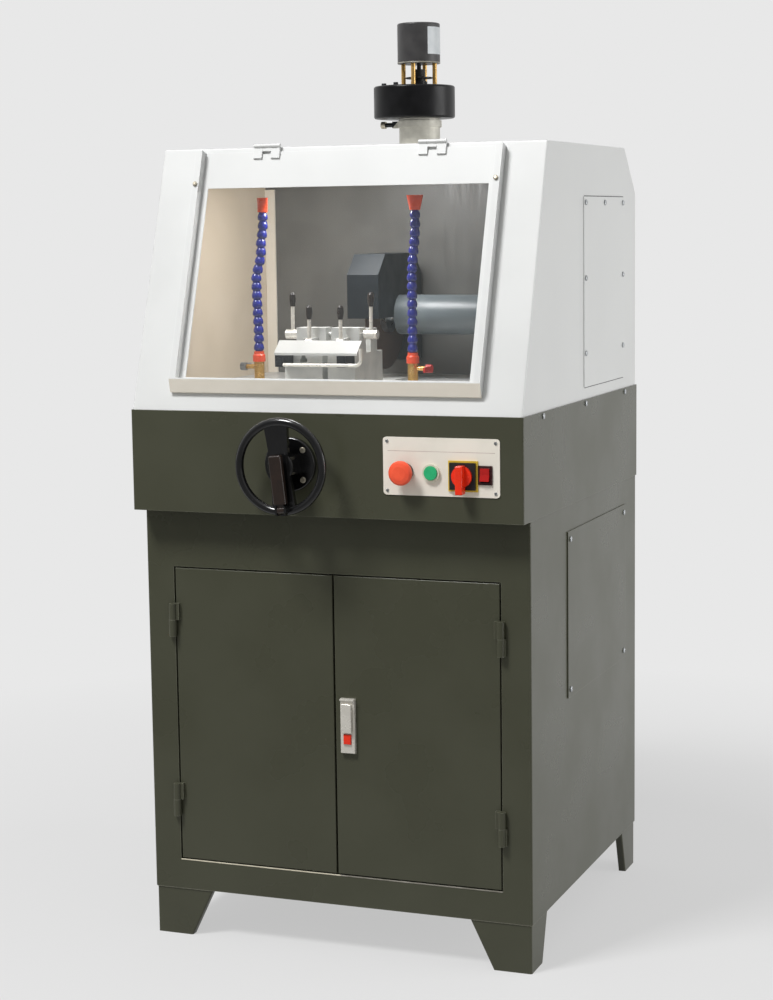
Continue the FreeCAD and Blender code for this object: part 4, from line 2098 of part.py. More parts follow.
PIECES = {
    "cabinet_shell": cabinet_shell,
    "cabinet_feet": cabinet_feet,
    "side_access_panel": side_access_panel,
    "cabinet_back_cover": cabinet_back_cover,
    "cable_gland": cable_gland,
    "panel_screws": lambda: group([panel_screws(), dial_screws()]),
    "fixed_hinges": lambda: group([door_hinge_posts(), window_hinges()]),
    "left_door": left_door,
    "right_door": right_door,
    "lock_base": lock_base,
    "lock_lever": lock_lever,
    "lock_button": lock_button,
    "feed_case": feed_case,
    "hood_shell": hood_shell,
    "hood_side_plate": hood_side_plate,
    "window_frame": lambda: group([window_frame(), window_studs()]),
    "window_pane": window_pane,
    "control_plate": control_plate,
    "button_bezels": lambda: group([button_bezels(), isolator_plate()]),
    "stop_button": stop_button,
    "start_button": start_button,
    "isolator_handle": isolator_handle,
    "rocker_key": rocker_key,
    "dial_flange": dial_flange,
    "handwheel": handwheel,
    "handwheel_grip": handwheel_grip,
    "lead_screw": lead_screw,
    "guide_rods": lambda: group([guide_rods(), rod_brackets()]),
    "table_carriage": lambda: group([table_carriage(), feed_nut()]),
    "table_blocks": table_blocks,
    "vise_jaws": lambda: group([clamp_blocks(), rear_jaws()]),
    "clamp_bar": lambda: group([clamp_bar(), bar_arms(), bent_rod()]),
    "clamp_lever_1": lambda: outer_lever(-1),
    "clamp_lever_2": lambda: inner_lever(-1),
    "clamp_lever_3": lambda: inner_lever(1),
    "clamp_lever_4": lambda: outer_lever(1),
    "spindle_shaft": lambda: group([spindle_shaft(), wheel_flanges(), spindle_pulley()]),
    "abrasive_wheel": abrasive_wheel,
    "spindle_housing": lambda: group([spindle_housing(), spindle_bearings()]),
    "wheel_guard": wheel_guard,
    "belt_guard": belt_guard,
    "drive_belt": drive_belt,
    "drive_motor": drive_motor,
    "motor_pulley": lambda: group([motor_pulley(), motor_shaft()]),
    "motor_shelf": motor_shelf,
    "chamber_tray": chamber_tray,
    "splash_panel": lambda: group([splash_panel(), splash_strip()]),
    "coolant_tank": coolant_tank,
    "coolant_pump": coolant_pump,
    "coolant_pipes": lambda: group([coolant_pipes(), drain_pipe()]),
    "valve_bodies": valve_bodies,
    "valve_lever_left": lambda: valve_lever(-1),
    "valve_lever_right": lambda: valve_lever(1),
    "coolant_hoses": coolant_hoses,
    "hose_fittings": lambda: group([hose_nozzles(), hose_adapters()]),
    "fan_duct": lambda: group([fan_duct(), duct_clamp()]),
    "fan_volute": fan_volute,
    "fan_motor": lambda: group([fan_motor(), fan_standoffs()]),
    "fan_impeller": fan_impeller,
    "electrics": lambda: group([electrics_plate(), switch_bodies()]),
}


def main():
    """Write every piece."""
    os.makedirs("parts", exist_ok=True)
    for name, build in PIECES.items():
        build().exportStep("parts/" + name + ".step")


main()
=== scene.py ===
"""Looks of an abrasive wet cut-off machine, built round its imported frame."""

import logging
import math
from dataclasses import dataclass
from enum import Enum
from typing import Callable, Sequence

import bpy
import numpy as np
from mathutils import Matrix, Vector


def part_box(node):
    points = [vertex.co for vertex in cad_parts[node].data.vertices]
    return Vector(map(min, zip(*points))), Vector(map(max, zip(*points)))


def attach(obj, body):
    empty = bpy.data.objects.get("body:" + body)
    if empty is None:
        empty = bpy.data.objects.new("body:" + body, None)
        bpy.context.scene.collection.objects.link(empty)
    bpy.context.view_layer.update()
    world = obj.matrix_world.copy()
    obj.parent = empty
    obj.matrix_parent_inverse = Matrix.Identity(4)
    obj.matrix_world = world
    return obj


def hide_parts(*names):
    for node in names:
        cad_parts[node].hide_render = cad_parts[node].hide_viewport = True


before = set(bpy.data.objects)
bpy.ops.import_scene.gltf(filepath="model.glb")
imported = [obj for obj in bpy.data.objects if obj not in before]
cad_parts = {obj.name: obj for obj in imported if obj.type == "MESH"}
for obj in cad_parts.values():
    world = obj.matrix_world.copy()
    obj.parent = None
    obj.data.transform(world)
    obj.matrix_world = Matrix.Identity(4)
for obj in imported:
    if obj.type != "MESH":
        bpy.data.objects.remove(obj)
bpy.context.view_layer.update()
MM = 0.001
MERGE_MM = 0.02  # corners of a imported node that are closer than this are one
TURNED_SMOOTH = 35.0  # degrees up to which an edge is shaded smooth
SLAB_SMOOTH = 40.0
log = logging.getLogger("cut_off_machine")

Socket = bpy.types.NodeSocket
Colour = tuple[float, float, float, float]
Steps = tuple[tuple[float, float], ...]


class Side(Enum):
    """The two hoses, by the side of the wheel on which they stand."""

    LEFT = -1
    RIGHT = 1


# Materials

NOISE_SPAN = (0.3, 0.7)  # most values of a noise lie between these
CLOUD_DETAIL = 4.0
GRAIN_DETAIL = 3.0
COAT_ROUGH = 0.12
# Edges that turn this much take a paler colour: partly wear, partly painted highlight
EDGE_TURN = (0.99, 0.8)  # cosine of an edge's turn where wear starts and where it is full
EDGE_GAIN = 1.2
EDGE_SAMPLES = 4


def linear(code: str) -> Colour:
    """Turn an sRGB hex colour into linear values.

    Args:
        code: Six hex digits.

    Returns:
        Linear red, green and blue, and a full alpha.
    """
    parts = [int(code[i : i + 2], 16) / 255 for i in (0, 2, 4)]
    flat = [c / 12.92 if c <= 0.04045 else ((c + 0.055) / 1.055) ** 2.4 for c in parts]
    return (flat[0], flat[1], flat[2], 1.0)


def add_node(
    tree: bpy.types.NodeTree, kind: str, settings: dict | None = None, links: dict | None = None
) -> bpy.types.Node:
    """Add a node with its settings and links.

    Args:
        tree: Node tree that gets the node.
        kind: Blender's name for the node.
        settings: Properties to set.
        links: Input sockets, by name or number, with a value or with the socket that feeds them.

    Returns:
        The new node.
    """
    made = tree.nodes.new(kind)
    for name, value in (settings or {}).items():
        setattr(made, name, value)
    for name, value in (links or {}).items():
        if isinstance(value, Socket):
            tree.links.new(value, made.inputs[name])
        else:
            made.inputs[name].default_value = value
    return made


@dataclass(frozen=True)
class Finish:
    """One real surface: its colours, gloss and fine relief, with sizes in millimetres."""

    name: str
    base: str
    tint: str
    cloud_mm: float
    rough: tuple[float, float]
    grain_mm: float
    relief_mm: float
    stretch: tuple[float, float, float] = (1.0, 1.0, 1.0)
    metallic: float = 0.0
    ior: float = 1.5
    coat: float = 0.0
    edge_wear_and_highlight: str = ""
    edge_wear_and_highlight_mm: float = 0.0
    alpha: float = 1.0

    def material(self) -> bpy.types.Material:
        """Make the material, or give the one already made.

        Returns:
            The material.
        """
        found = bpy.data.materials.get(self.name)
        if found:
            return found
        made = bpy.data.materials.new(self.name)
        made.use_nodes = True
        made.node_tree.nodes.clear()
        self.shade(made.node_tree)
        return made

    def shade(self, tree: bpy.types.NodeTree) -> None:
        """Lay the nodes of the finish.

        Args:
            tree: The material's empty node tree.
        """
        place = add_node(tree, "ShaderNodeTexCoord").outputs["Object"]
        cloud = add_node(
            tree,
            "ShaderNodeTexNoise",
            links={"Vector": place, "Scale": 1 / (self.cloud_mm * MM), "Detail": CLOUD_DETAIL},
        ).outputs["Fac"]
        along = add_node(
            tree,
            "ShaderNodeMapping",
            links={"Vector": place, "Scale": tuple(1 / s for s in self.stretch)},
        ).outputs["Vector"]
        grain = add_node(
            tree,
            "ShaderNodeTexNoise",
            links={"Vector": along, "Scale": 1 / (self.grain_mm * MM), "Detail": GRAIN_DETAIL},
        ).outputs["Fac"]
        soft = {"interpolation_type": "SMOOTHSTEP"}
        low, high = NOISE_SPAN
        blend = add_node(
            tree, "ShaderNodeMapRange", soft, {"Value": cloud, "From Min": low, "From Max": high}
        ).outputs["Result"]
        mix = {"data_type": "RGBA"}
        shares = {0: blend, 6: linear(self.base), 7: linear(self.tint)}
        colour = add_node(tree, "ShaderNodeMix", mix, shares).outputs[2]
        # Outer edges take a paler colour: partly wear, partly painted highlight
        if self.edge_wear_and_highlight:
            shares = {0: self.edge(tree, cloud), 6: colour, 7: linear(self.edge_wear_and_highlight)}
            colour = add_node(tree, "ShaderNodeMix", mix, shares).outputs[2]
        gloss = add_node(
            tree,
            "ShaderNodeMapRange",
            soft,
            {
                "Value": grain if max(self.stretch) > 1 else cloud,
                "From Min": low,
                "From Max": high,
                "To Min": self.rough[0],
                "To Max": self.rough[1],
            },
        ).outputs["Result"]
        bump = add_node(
            tree,
            "ShaderNodeBump",
            links={"Height": grain, "Distance": self.relief_mm * MM, "Strength": 1.0},
        ).outputs["Normal"]
        shader = add_node(
            tree,
            "ShaderNodeBsdfPrincipled",
            links={
                "Base Color": colour,
                "Roughness": gloss,
                "Normal": bump,
                "Metallic": self.metallic,
                "IOR": self.ior,
                "Coat Weight": self.coat,
                "Coat Roughness": COAT_ROUGH,
                "Alpha": self.alpha,
            },
        )
        add_node(tree, "ShaderNodeOutputMaterial", links={"Surface": shader.outputs["BSDF"]})

    def edge(self, tree: bpy.types.NodeTree, cloud: Socket) -> Socket:
        """Find the outer edges, broken up by the clouds.

        Args:
            tree: The material's node tree.
            cloud: Socket of the cloud noise.

        Returns:
            The socket of the share of the paler edge colour: partly wear, partly painted highlight.
        """
        soft = add_node(
            tree, "ShaderNodeBevel", {"samples": EDGE_SAMPLES}, {"Radius": self.edge_wear_and_highlight_mm * MM}
        ).outputs["Normal"]
        flat = add_node(tree, "ShaderNodeNewGeometry").outputs["Normal"]
        turn = add_node(
            tree, "ShaderNodeVectorMath", {"operation": "DOT_PRODUCT"}, {0: soft, 1: flat}
        ).outputs["Value"]
        start, full = EDGE_TURN
        near = add_node(
            tree,
            "ShaderNodeMapRange",
            links={"Value": turn, "From Min": start, "From Max": full, "To Max": EDGE_GAIN},
        ).outputs["Result"]
        times = {"operation": "MULTIPLY", "use_clamp": True}
        return add_node(tree, "ShaderNodeMath", times, {0: near, 1: cloud}).outputs["Value"]


# Orange peel, brushing and grain too fine to show are drawn a few times coarser than they are

# Oven-cured enamel on sheet steel, sprayed: faint orange peel, semi-gloss, paler grey on outer edges,
# partly rubbed enamel and partly painted highlight
OLIVE = Finish(
    "olive_enamel",
    "444537",
    "48493b",
    160,
    (0.26, 0.34),
    5.0,
    0.04,
    ior=1.4,
    edge_wear_and_highlight="8a8a7c",
    edge_wear_and_highlight_mm=1.4,
)
# The same kind of enamel in white: flatter, with a softer shine, its outer edges painted whiter as
# painted highlight
WHITE = Finish(
    "white_enamel", "d2d3d2", "d6d7d6", 180, (0.3, 0.38), 5.0, 0.03, edge_wear_and_highlight="eceeee", edge_wear_and_highlight_mm=1.4
)
# White enamel of the window's lip and the splash panel's strip, painted lighter and warmer than the
# hood's white: on the downward-facing lip it is painted light from the floor below
WHITE_PAINTED_LIGHTER = Finish("white_enamel_painted_lighter", "efe8dc", "e9e2d5", 60, (0.32, 0.42), 5.0, 0.03)
# Cream enamel inside the hood, dulled by spray
CREAM = Finish("cream_enamel", "d6c8b4", "cdbfaa", 140, (0.4, 0.55), 5.0, 0.05)
# Rolled stainless sheet, brushed: pale, with soft upright streaks
STAINLESS = Finish(
    "brushed_stainless", "d2d3d2", "c6c7c7", 90, (0.34, 0.5), 1.6, 0.02, (1.0, 1.0, 40.0), 0.35
)
# Grey enamel on the splash panel: dulled by spray, with faint runs down
SPLASH = Finish(
    "splash_enamel", "5d5d5a", "676764", 70, (0.3, 0.45), 6.0, 0.05, (1.0, 1.0, 14.0)
)
# Zinc-plated fasteners and ground shafts: bright, faintly blue
ZINC = Finish("zinc_plate", "b9bcbe", "a6a9ab", 12, (0.26, 0.4), 1.2, 0.01, metallic=1.0)
# Satin chromium on zinc castings and rods: only half a mirror; the rest is a pale diffuse colour, a
# painted reflection that keeps it bright
CHROME = Finish("satin_chrome", "e6e2d9", "dad6cd", 20, (0.22, 0.34), 2.5, 0.01, metallic=0.35)
# Ground grey iron of the vise: pale, with fine lines across
IRON = Finish(
    "ground_iron", "d2d2ce", "c2c3c0", 30, (0.35, 0.5), 1.4, 0.02, (12.0, 1.0, 1.0), 0.3
)
# White stove enamel on the clamp bar, greyed by use
BAR_WHITE = Finish("bar_enamel", "bcbcb9", "b6b6b3", 40, (0.3, 0.4), 3.0, 0.02)
# Oil-blackened steel of brackets, clamp band and cap screws: near black, with a dull sheen
BLACKED = Finish("blackened_steel", "26272a", "303135", 20, (0.35, 0.5), 2.0, 0.02, metallic=0.6)
# Phenolic moulding of the handwheel: deep black and glossy
PHENOLIC = Finish("black_phenolic", "0d0d0e", "121213", 30, (0.14, 0.22), 6.0, 0.02, coat=0.4)
# The same kind of moulding in dark brown, of the folding grip
GRIP = Finish("brown_phenolic", "2b1f19", "231a15", 25, (0.16, 0.26), 4.0, 0.02, coat=0.3)
# Turned knobs of the clamp levers: dark brown and satin
KNOB = Finish("dark_knob", "2b2420", "211c19", 10, (0.25, 0.4), 2.0, 0.01)
# Fine-grained moulding of switches and gland: black and half matt
BLACK = Finish("black_moulding", "1b1b1d", "202022", 20, (0.4, 0.55), 1.5, 0.02)
# Anodised aluminium plate behind the switches, brushed across: pale and satin
PLATE = Finish(
    "anodised_plate", "f4eee2", "ece6da", 60, (0.35, 0.5), 1.5, 0.008, (30.0, 1.0, 1.0), 0.1
)
# Rolled aluminium duct, drawn lengthways: fine streaks up and down
DUCT = Finish(
    "drawn_aluminium", "dedbd0", "cecbc0", 14, (0.48, 0.66), 1.8, 0.02, (1.0, 1.0, 30.0), 0.35
)
# Glossy stove enamel of the bearing flange
GLOSS_BLACK = Finish("flange_enamel", "0d0d0e", "121213", 30, (0.12, 0.2), 4.0, 0.01, coat=0.4)
# Injection-moulded switch caps and hose parts: even colour with soft highlights
STOP_RED = Finish("stop_cap_red", "fa5f3e", "f25636", 14, (0.28, 0.38), 2.0, 0.01)
HANDLE_RED = Finish("handle_red", "f3320e", "e82d0c", 14, (0.2, 0.3), 2.0, 0.01, coat=0.2)
ROCKER_RED = Finish("rocker_red", "b31714", "a5120f", 10, (0.15, 0.25), 2.0, 0.005, coat=0.3)
GREEN = Finish("start_green", "2db576", "27a86d", 10, (0.22, 0.32), 2.0, 0.01, coat=0.2)
IVORY = Finish("ivory_bezel", "ddd9c6", "d3cfbc", 10, (0.25, 0.35), 2.0, 0.01)
YELLOW = Finish("isolator_yellow", "e0bb3c", "d8b235", 12, (0.3, 0.4), 2.0, 0.01)
MAROON = Finish("rocker_rim_maroon", "3a1414", "331111", 10, (0.25, 0.35), 2.0, 0.01)
HOSE_BLUE = Finish("hose_link_blue", "212884", "1c2275", 9, (0.18, 0.28), 3.0, 0.02, coat=0.3)
ORANGE = Finish("nozzle_orange", "e2502c", "d84826", 10, (0.24, 0.34), 2.0, 0.01, coat=0.2)
# Turned yellow brass, unpolished: warm, with a soft shine
BRASS = Finish("turned_brass", "d6ae6a", "c29b57", 8, (0.24, 0.4), 1.0, 0.01, metallic=0.75)
# Nickel-plated studs, flange screws and clamp bolt: yellowed
STUD = Finish("yellowed_nickel", "c6bfae", "b3ab99", 6, (0.3, 0.42), 1.0, 0.01, metallic=0.8)
# Vinyl-dipped valve levers: even and half matt
GREY_GRIP = Finish("grey_vinyl", "8d8f90", "858788", 8, (0.35, 0.5), 1.5, 0.01)
RED_GRIP = Finish("red_vinyl", "c02018", "b51b14", 8, (0.3, 0.45), 1.5, 0.01)
# Hammered slate enamel of the wheel guard: dark, finely dimpled
SLATE = Finish("slate_enamel", "171c20", "1b2125", 30, (0.45, 0.6), 4.0, 0.15, ior=1.35)
# Resin-bonded abrasive: coarse, dull
ABRASIVE = Finish("bonded_abrasive", "4a3a30", "5a463a", 3, (0.8, 0.95), 0.9, 0.12)
# Moulded rubber belt: dull black
RUBBER = Finish("belt_rubber", "161616", "1d1d1d", 15, (0.6, 0.75), 1.2, 0.05)
# Grey enamel on motor, pump and spindle castings: even, with a cast grain
MOTOR_GREY = Finish("motor_enamel", "5b6468", "636c70", 60, (0.35, 0.48), 2.5, 0.08)
# Extruded pipe and welded sheet of the coolant circuit: pale and half matt
PIPE = Finish("pipe_polymer", "9aa0a3", "90969a", 20, (0.35, 0.5), 3.0, 0.02)
TANK = Finish("tank_polymer", "b9bdb8", "b0b4b0", 80, (0.4, 0.55), 4.0, 0.03)
# Moulded fan housing, deep black, and the motor's fine-textured charcoal enamel
FAN_BLACK = Finish("fan_moulding", "0b0b0c", "101012", 30, (0.3, 0.4), 3.0, 0.02, ior=1.33)
FAN_GREY = Finish("fan_motor_enamel", "333233", "3a3939", 25, (0.34, 0.46), 1.8, 0.03)
# Pressed alloy of the fan's wheel: dull and cool
IMPELLER = Finish("impeller_alloy", "9ea1a3", "94979a", 20, (0.35, 0.5), 1.5, 0.02, metallic=1.0)
# Plain label on the fan's motor: bluish white and satin
LABEL = Finish("blank_label", "d2d6d8", "cacfd2", 15, (0.3, 0.42), 2.0, 0.005)
# Cast clear sheet: seen through; its pale colour at a low alpha is a painted reflection, a faint even
# veil
PANE = Finish(
    "clear_sheet", "dfe6e8", "d6dee0", 200, (0.03, 0.06), 60.0, 0.02, ior=1.49, alpha=0.02
)
# Bright, uneven line along the door opening's sill under the left door: partly enamel rubbed through
# to steel, partly painted highlight on the sill's edge
SILL_WEAR_AND_HIGHLIGHT = Finish("rubbed_sill_and_highlight", "e6dfca", "cdc6b0", 18, (0.3, 0.45), 2.0, 0.02, metallic=0.2)
# Dimmer painted highlight: on the sill under the right door, and on the lip of the fan's motor
DIM_EDGE_HIGHLIGHT = Finish("dim_edge_highlight", "9a968d", "7c796e", 18, (0.3, 0.45), 2.0, 0.02)
# Weld bead under the same enamel, thin on its ripples
WELD = Finish("painted_weld", "6b6a5c", "8b897a", 6, (0.3, 0.45), 1.5, 0.05)
# Grey, matt rubber strip along the side plate's upper and lower edges: painted shade for the dark
# lines there
SHADE_STRIP = Finish("rubber_shade_strip", "6a6b6b", "5b5c5c", 12, (0.6, 0.75), 1.5, 0.02)
# Screen-printed line on the switch plate: thin, greyish red
PRINT = Finish("printed_line", "b9a39c", "ad958f", 9, (0.4, 0.5), 1.5, 0.005)

# Nodes of one finish; the sub-assemblies dress the others
NODE_FINISH: dict[str, Finish] = {
    "cabinet_shell": OLIVE,
    "cabinet_feet": OLIVE,
    "left_door": OLIVE,
    "right_door": OLIVE,
    "feed_case": OLIVE,
    "side_access_panel": OLIVE,
    "cabinet_back_cover": OLIVE,
    "motor_shelf": OLIVE,
    "belt_guard": OLIVE,
    "hood_side_plate": WHITE,
    "window_pane": PANE,
    "guide_rods": ZINC,
    "lead_screw": ZINC,
    "spindle_shaft": ZINC,
    "spindle_housing": MOTOR_GREY,
    "motor_pulley": IRON,
    "lock_base": CHROME,
    "lock_lever": CHROME,
    "lock_button": HANDLE_RED,
    "chamber_tray": STAINLESS,
    "table_carriage": IRON,
    "table_blocks": IRON,
    "vise_jaws": IRON,
    "handwheel": PHENOLIC,
    "handwheel_grip": GRIP,
    "electrics": BLACK,
    "cable_gland": BLACK,
    "dial_flange": GLOSS_BLACK,
    "stop_button": STOP_RED,
    "start_button": GREEN,
    "isolator_handle": HANDLE_RED,
    "rocker_key": ROCKER_RED,
    "hose_fittings": ORANGE,
    "coolant_hoses": HOSE_BLUE,
    "valve_bodies": BRASS,
    "valve_lever_left": GREY_GRIP,
    "valve_lever_right": RED_GRIP,
    "wheel_guard": SLATE,
    "abrasive_wheel": ABRASIVE,
    "drive_belt": RUBBER,
    "drive_motor": MOTOR_GREY,
    "coolant_pump": MOTOR_GREY,
    "coolant_pipes": PIPE,
    "coolant_tank": TANK,
    "fan_volute": FAN_BLACK,
}


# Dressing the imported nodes


@dataclass
class Solid:
    """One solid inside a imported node: its faces and its box."""

    faces: np.ndarray
    low: np.ndarray
    high: np.ndarray

    @property
    def middle(self) -> np.ndarray:
        """Centre of the box."""
        return (self.low + self.high) / 2

    @property
    def size(self) -> np.ndarray:
        """Lengths of the box."""
        return self.high - self.low


def solids_of(name: str) -> list[Solid]:
    """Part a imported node's triangles into its solids.

    Args:
        name: The node.

    Returns:
        The solids, from left to right.
    """
    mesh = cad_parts[name].data
    points = np.zeros(len(mesh.vertices) * 3)
    mesh.vertices.foreach_get("co", points)
    points = points.reshape(-1, 3)
    corners = np.zeros(len(mesh.loops), int)
    mesh.loops.foreach_get("vertex_index", corners)
    corners = corners.reshape(-1, 3)
    cells = np.round(points / (MERGE_MM * MM)).astype(np.int64)
    ids = np.unique(cells, axis=0, return_inverse=True)[1].reshape(-1)
    root = list(range(int(ids.max()) + 1))

    def top(i: int) -> int:
        """Find the first vertex of a group.

        Args:
            i: Any vertex of the group.

        Returns:
            The first one.
        """
        while root[i] != i:
            root[i] = root[root[i]]
            i = root[i]
        return i

    for a, b, c in ids[corners].tolist():
        head = top(a)
        root[top(b)] = head
        root[top(c)] = head
    group = np.array([top(int(i)) for i in ids[corners[:, 0]]])
    found = []
    for key in np.unique(group):
        faces = np.nonzero(group == key)[0]
        shape = points[corners[faces].reshape(-1)]
        found.append(Solid(faces, shape.min(0), shape.max(0)))
    return sorted(found, key=lambda s: tuple(np.round(s.middle, 4)))


def dress(name: str, *finishes: Finish) -> None:
    """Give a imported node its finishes, the first one all over.

    Args:
        name: The node.
        finishes: Finishes in the order of the material slots.
    """
    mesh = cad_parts[name].data
    mesh.materials.clear()
    for finish in finishes:
        mesh.materials.append(finish.material())
    mesh.polygons.foreach_set("material_index", np.zeros(len(mesh.polygons), np.int32))
    mesh.update()
    log.info("dressed %s in %s", name, finishes[0].name)


def paint(name: str, faces: np.ndarray, index: int) -> None:
    """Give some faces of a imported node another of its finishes.

    Args:
        name: The node.
        faces: Indices of the faces.
        index: Material slot.
    """
    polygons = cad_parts[name].data.polygons
    held = np.zeros(len(polygons), np.int32)
    polygons.foreach_get("material_index", held)
    held[faces] = index
    polygons.foreach_set("material_index", held)


def face_table(name: str) -> tuple[np.ndarray, np.ndarray]:
    """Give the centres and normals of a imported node's faces.

    Args:
        name: The node.

    Returns:
        Two arrays with a row for each face.
    """
    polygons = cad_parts[name].data.polygons
    centres = np.zeros(len(polygons) * 3)
    normals = np.zeros(len(polygons) * 3)
    polygons.foreach_get("center", centres)
    polygons.foreach_get("normal", normals)
    return centres.reshape(-1, 3), normals.reshape(-1, 3)


def dress_nodes() -> None:
    """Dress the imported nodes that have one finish."""
    for name, finish in NODE_FINISH.items():
        dress(name, finish)


# Modelling by hand


def clear_selection() -> None:
    """Leave edit mode and deselect everything."""
    if bpy.context.object and bpy.context.object.mode != "OBJECT":
        bpy.ops.object.mode_set(mode="OBJECT")
    bpy.ops.object.select_all(action="DESELECT")


def smooth(degrees: float) -> None:
    """Shade the active piece smooth, apart from edges that turn by more than an angle."""
    bpy.ops.object.shade_smooth_by_angle(angle=math.radians(degrees))


def turned(name: str, profile: Sequence[tuple[float, float]], sides: int) -> bpy.types.Object:
    """Turn a piece about Z: a disc that is extruded and scaled from step to step.

    Args:
        name: Name of the object.
        profile: Steps of radius and height in millimetres, from the lower face up.
        sides: Flats round the piece.

    Returns:
        The object, at the origin.
    """
    clear_selection()
    first, low = profile[0]
    bpy.ops.mesh.primitive_circle_add(
        vertices=sides, radius=first * MM, fill_type="NGON", location=(0, 0, low * MM)
    )
    made = bpy.context.object
    made.name = name
    bpy.ops.object.transform_apply(location=True, rotation=False, scale=False)
    bpy.ops.object.mode_set(mode="EDIT")
    bpy.ops.mesh.select_all(action="SELECT")
    for (r0, z0), (r1, z1) in zip(profile, profile[1:]):
        bpy.ops.mesh.extrude_region_move(
            TRANSFORM_OT_translate={"value": (0, 0, (z1 - z0) * MM)}
        )
        bpy.ops.transform.resize(value=(r1 / r0, r1 / r0, 1), center_override=(0, 0, z1 * MM))
    bpy.ops.mesh.select_all(action="SELECT")
    bpy.ops.mesh.normals_make_consistent(inside=False)
    bpy.ops.object.mode_set(mode="OBJECT")
    smooth(TURNED_SMOOTH)
    return made


def slab(
    name: str, low: Sequence[float], high: Sequence[float], edge: float, steps: int = 2
) -> bpy.types.Object:
    """Make a block with rounded edges.

    Args:
        name: Name of the object.
        low: Lowest corner in millimetres.
        high: Highest corner in millimetres.
        edge: Radius of the edges in millimetres.
        steps: Flats across each edge.

    Returns:
        The object, with its place in its mesh.
    """
    clear_selection()
    middle = [(a + b) / 2 * MM for a, b in zip(low, high)]
    lengths = [(b - a) * MM for a, b in zip(low, high)]
    bpy.ops.mesh.primitive_cube_add(size=1.0, location=middle, scale=lengths)
    made = bpy.context.object
    made.name = name
    bpy.ops.object.transform_apply(location=True, rotation=True, scale=True)
    bpy.ops.object.mode_set(mode="EDIT")
    bpy.ops.mesh.select_all(action="SELECT")
    bpy.ops.mesh.bevel(offset=edge * MM, segments=steps, affect="EDGES")
    bpy.ops.object.mode_set(mode="OBJECT")
    smooth(SLAB_SMOOTH)
    return made


def carve(piece: bpy.types.Object, tool: bpy.types.Object) -> None:
    """Cut a tool out of a piece and remove the tool.

    Args:
        piece: The object to cut.
        tool: The object that is taken away.
    """
    clear_selection()
    bpy.context.view_layer.objects.active = piece
    cut = piece.modifiers.new("cut", "BOOLEAN")
    cut.operation = "DIFFERENCE"
    cut.object = tool
    bpy.ops.object.modifier_apply(modifier=cut.name)
    bpy.data.objects.remove(tool)


def keep_faces(piece: bpy.types.Object, test: Callable[[Vector], bool]) -> None:
    """Delete the faces of a piece whose centres fail a test.

    Args:
        piece: The object.
        test: Says of a face's centre whether the face stays.
    """
    clear_selection()
    piece.select_set(True)
    bpy.context.view_layer.objects.active = piece
    bpy.context.tool_settings.mesh_select_mode = (False, False, True)
    for item in (*piece.data.vertices, *piece.data.edges):
        item.select = False
    for face in piece.data.polygons:
        face.select = not test(face.center)
    bpy.ops.object.mode_set(mode="EDIT")
    bpy.ops.mesh.delete(type="FACE")
    bpy.ops.object.mode_set(mode="OBJECT")


def stand(piece: bpy.types.Object, foot: Vector, axis: Vector, spin: float = 0.0) -> None:
    """Put a piece that was made on Z at a place, along a direction, in its mesh.

    Args:
        piece: The object.
        foot: Where its origin goes, in metres.
        axis: Where its Z goes.
        spin: Turn about its own Z first, in radians.
    """
    turn = Vector((0, 0, 1)).rotation_difference(axis).to_matrix().to_4x4()
    piece.data.transform(Matrix.Translation(foot) @ turn @ Matrix.Rotation(spin, 4, "Z"))
    piece.data.update()


def copy_of(piece: bpy.types.Object, name: str) -> bpy.types.Object:
    """Copy a piece with a mesh of its own.

    Args:
        piece: The object to copy.
        name: Name of the copy.

    Returns:
        The copy.
    """
    made = piece.copy()
    made.data = piece.data.copy()
    made.name = name
    bpy.context.scene.collection.objects.link(made)
    return made


def joined(name: str, pieces: Sequence[bpy.types.Object]) -> bpy.types.Object:
    """Join pieces into one object.

    Args:
        name: Name of the object.
        pieces: The pieces.

    Returns:
        The joined object.
    """
    clear_selection()
    for piece in pieces:
        piece.select_set(True)
    bpy.context.view_layer.objects.active = pieces[0]
    bpy.ops.object.join()
    made = bpy.context.object
    made.name = name
    return made


def settle(
    piece: bpy.types.Object, body: str, finish: Finish, replaces: Sequence[str] = ()
) -> bpy.types.Object:
    """Finish a piece: its material, its body and the nodes that it stands for.

    Args:
        piece: The object.
        body: Body that it rides on.
        finish: Finish of the whole piece.
        replaces: Nodes that it stands for.

    Returns:
        The piece.
    """
    if not piece.data.materials:
        piece.data.materials.append(finish.material())
    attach(piece, body)
    if replaces:
        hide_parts(*replaces)
    log.info("made %s on %s", piece.name, body)
    return piece


# Sub-assemblies, with their sizes in millimetres


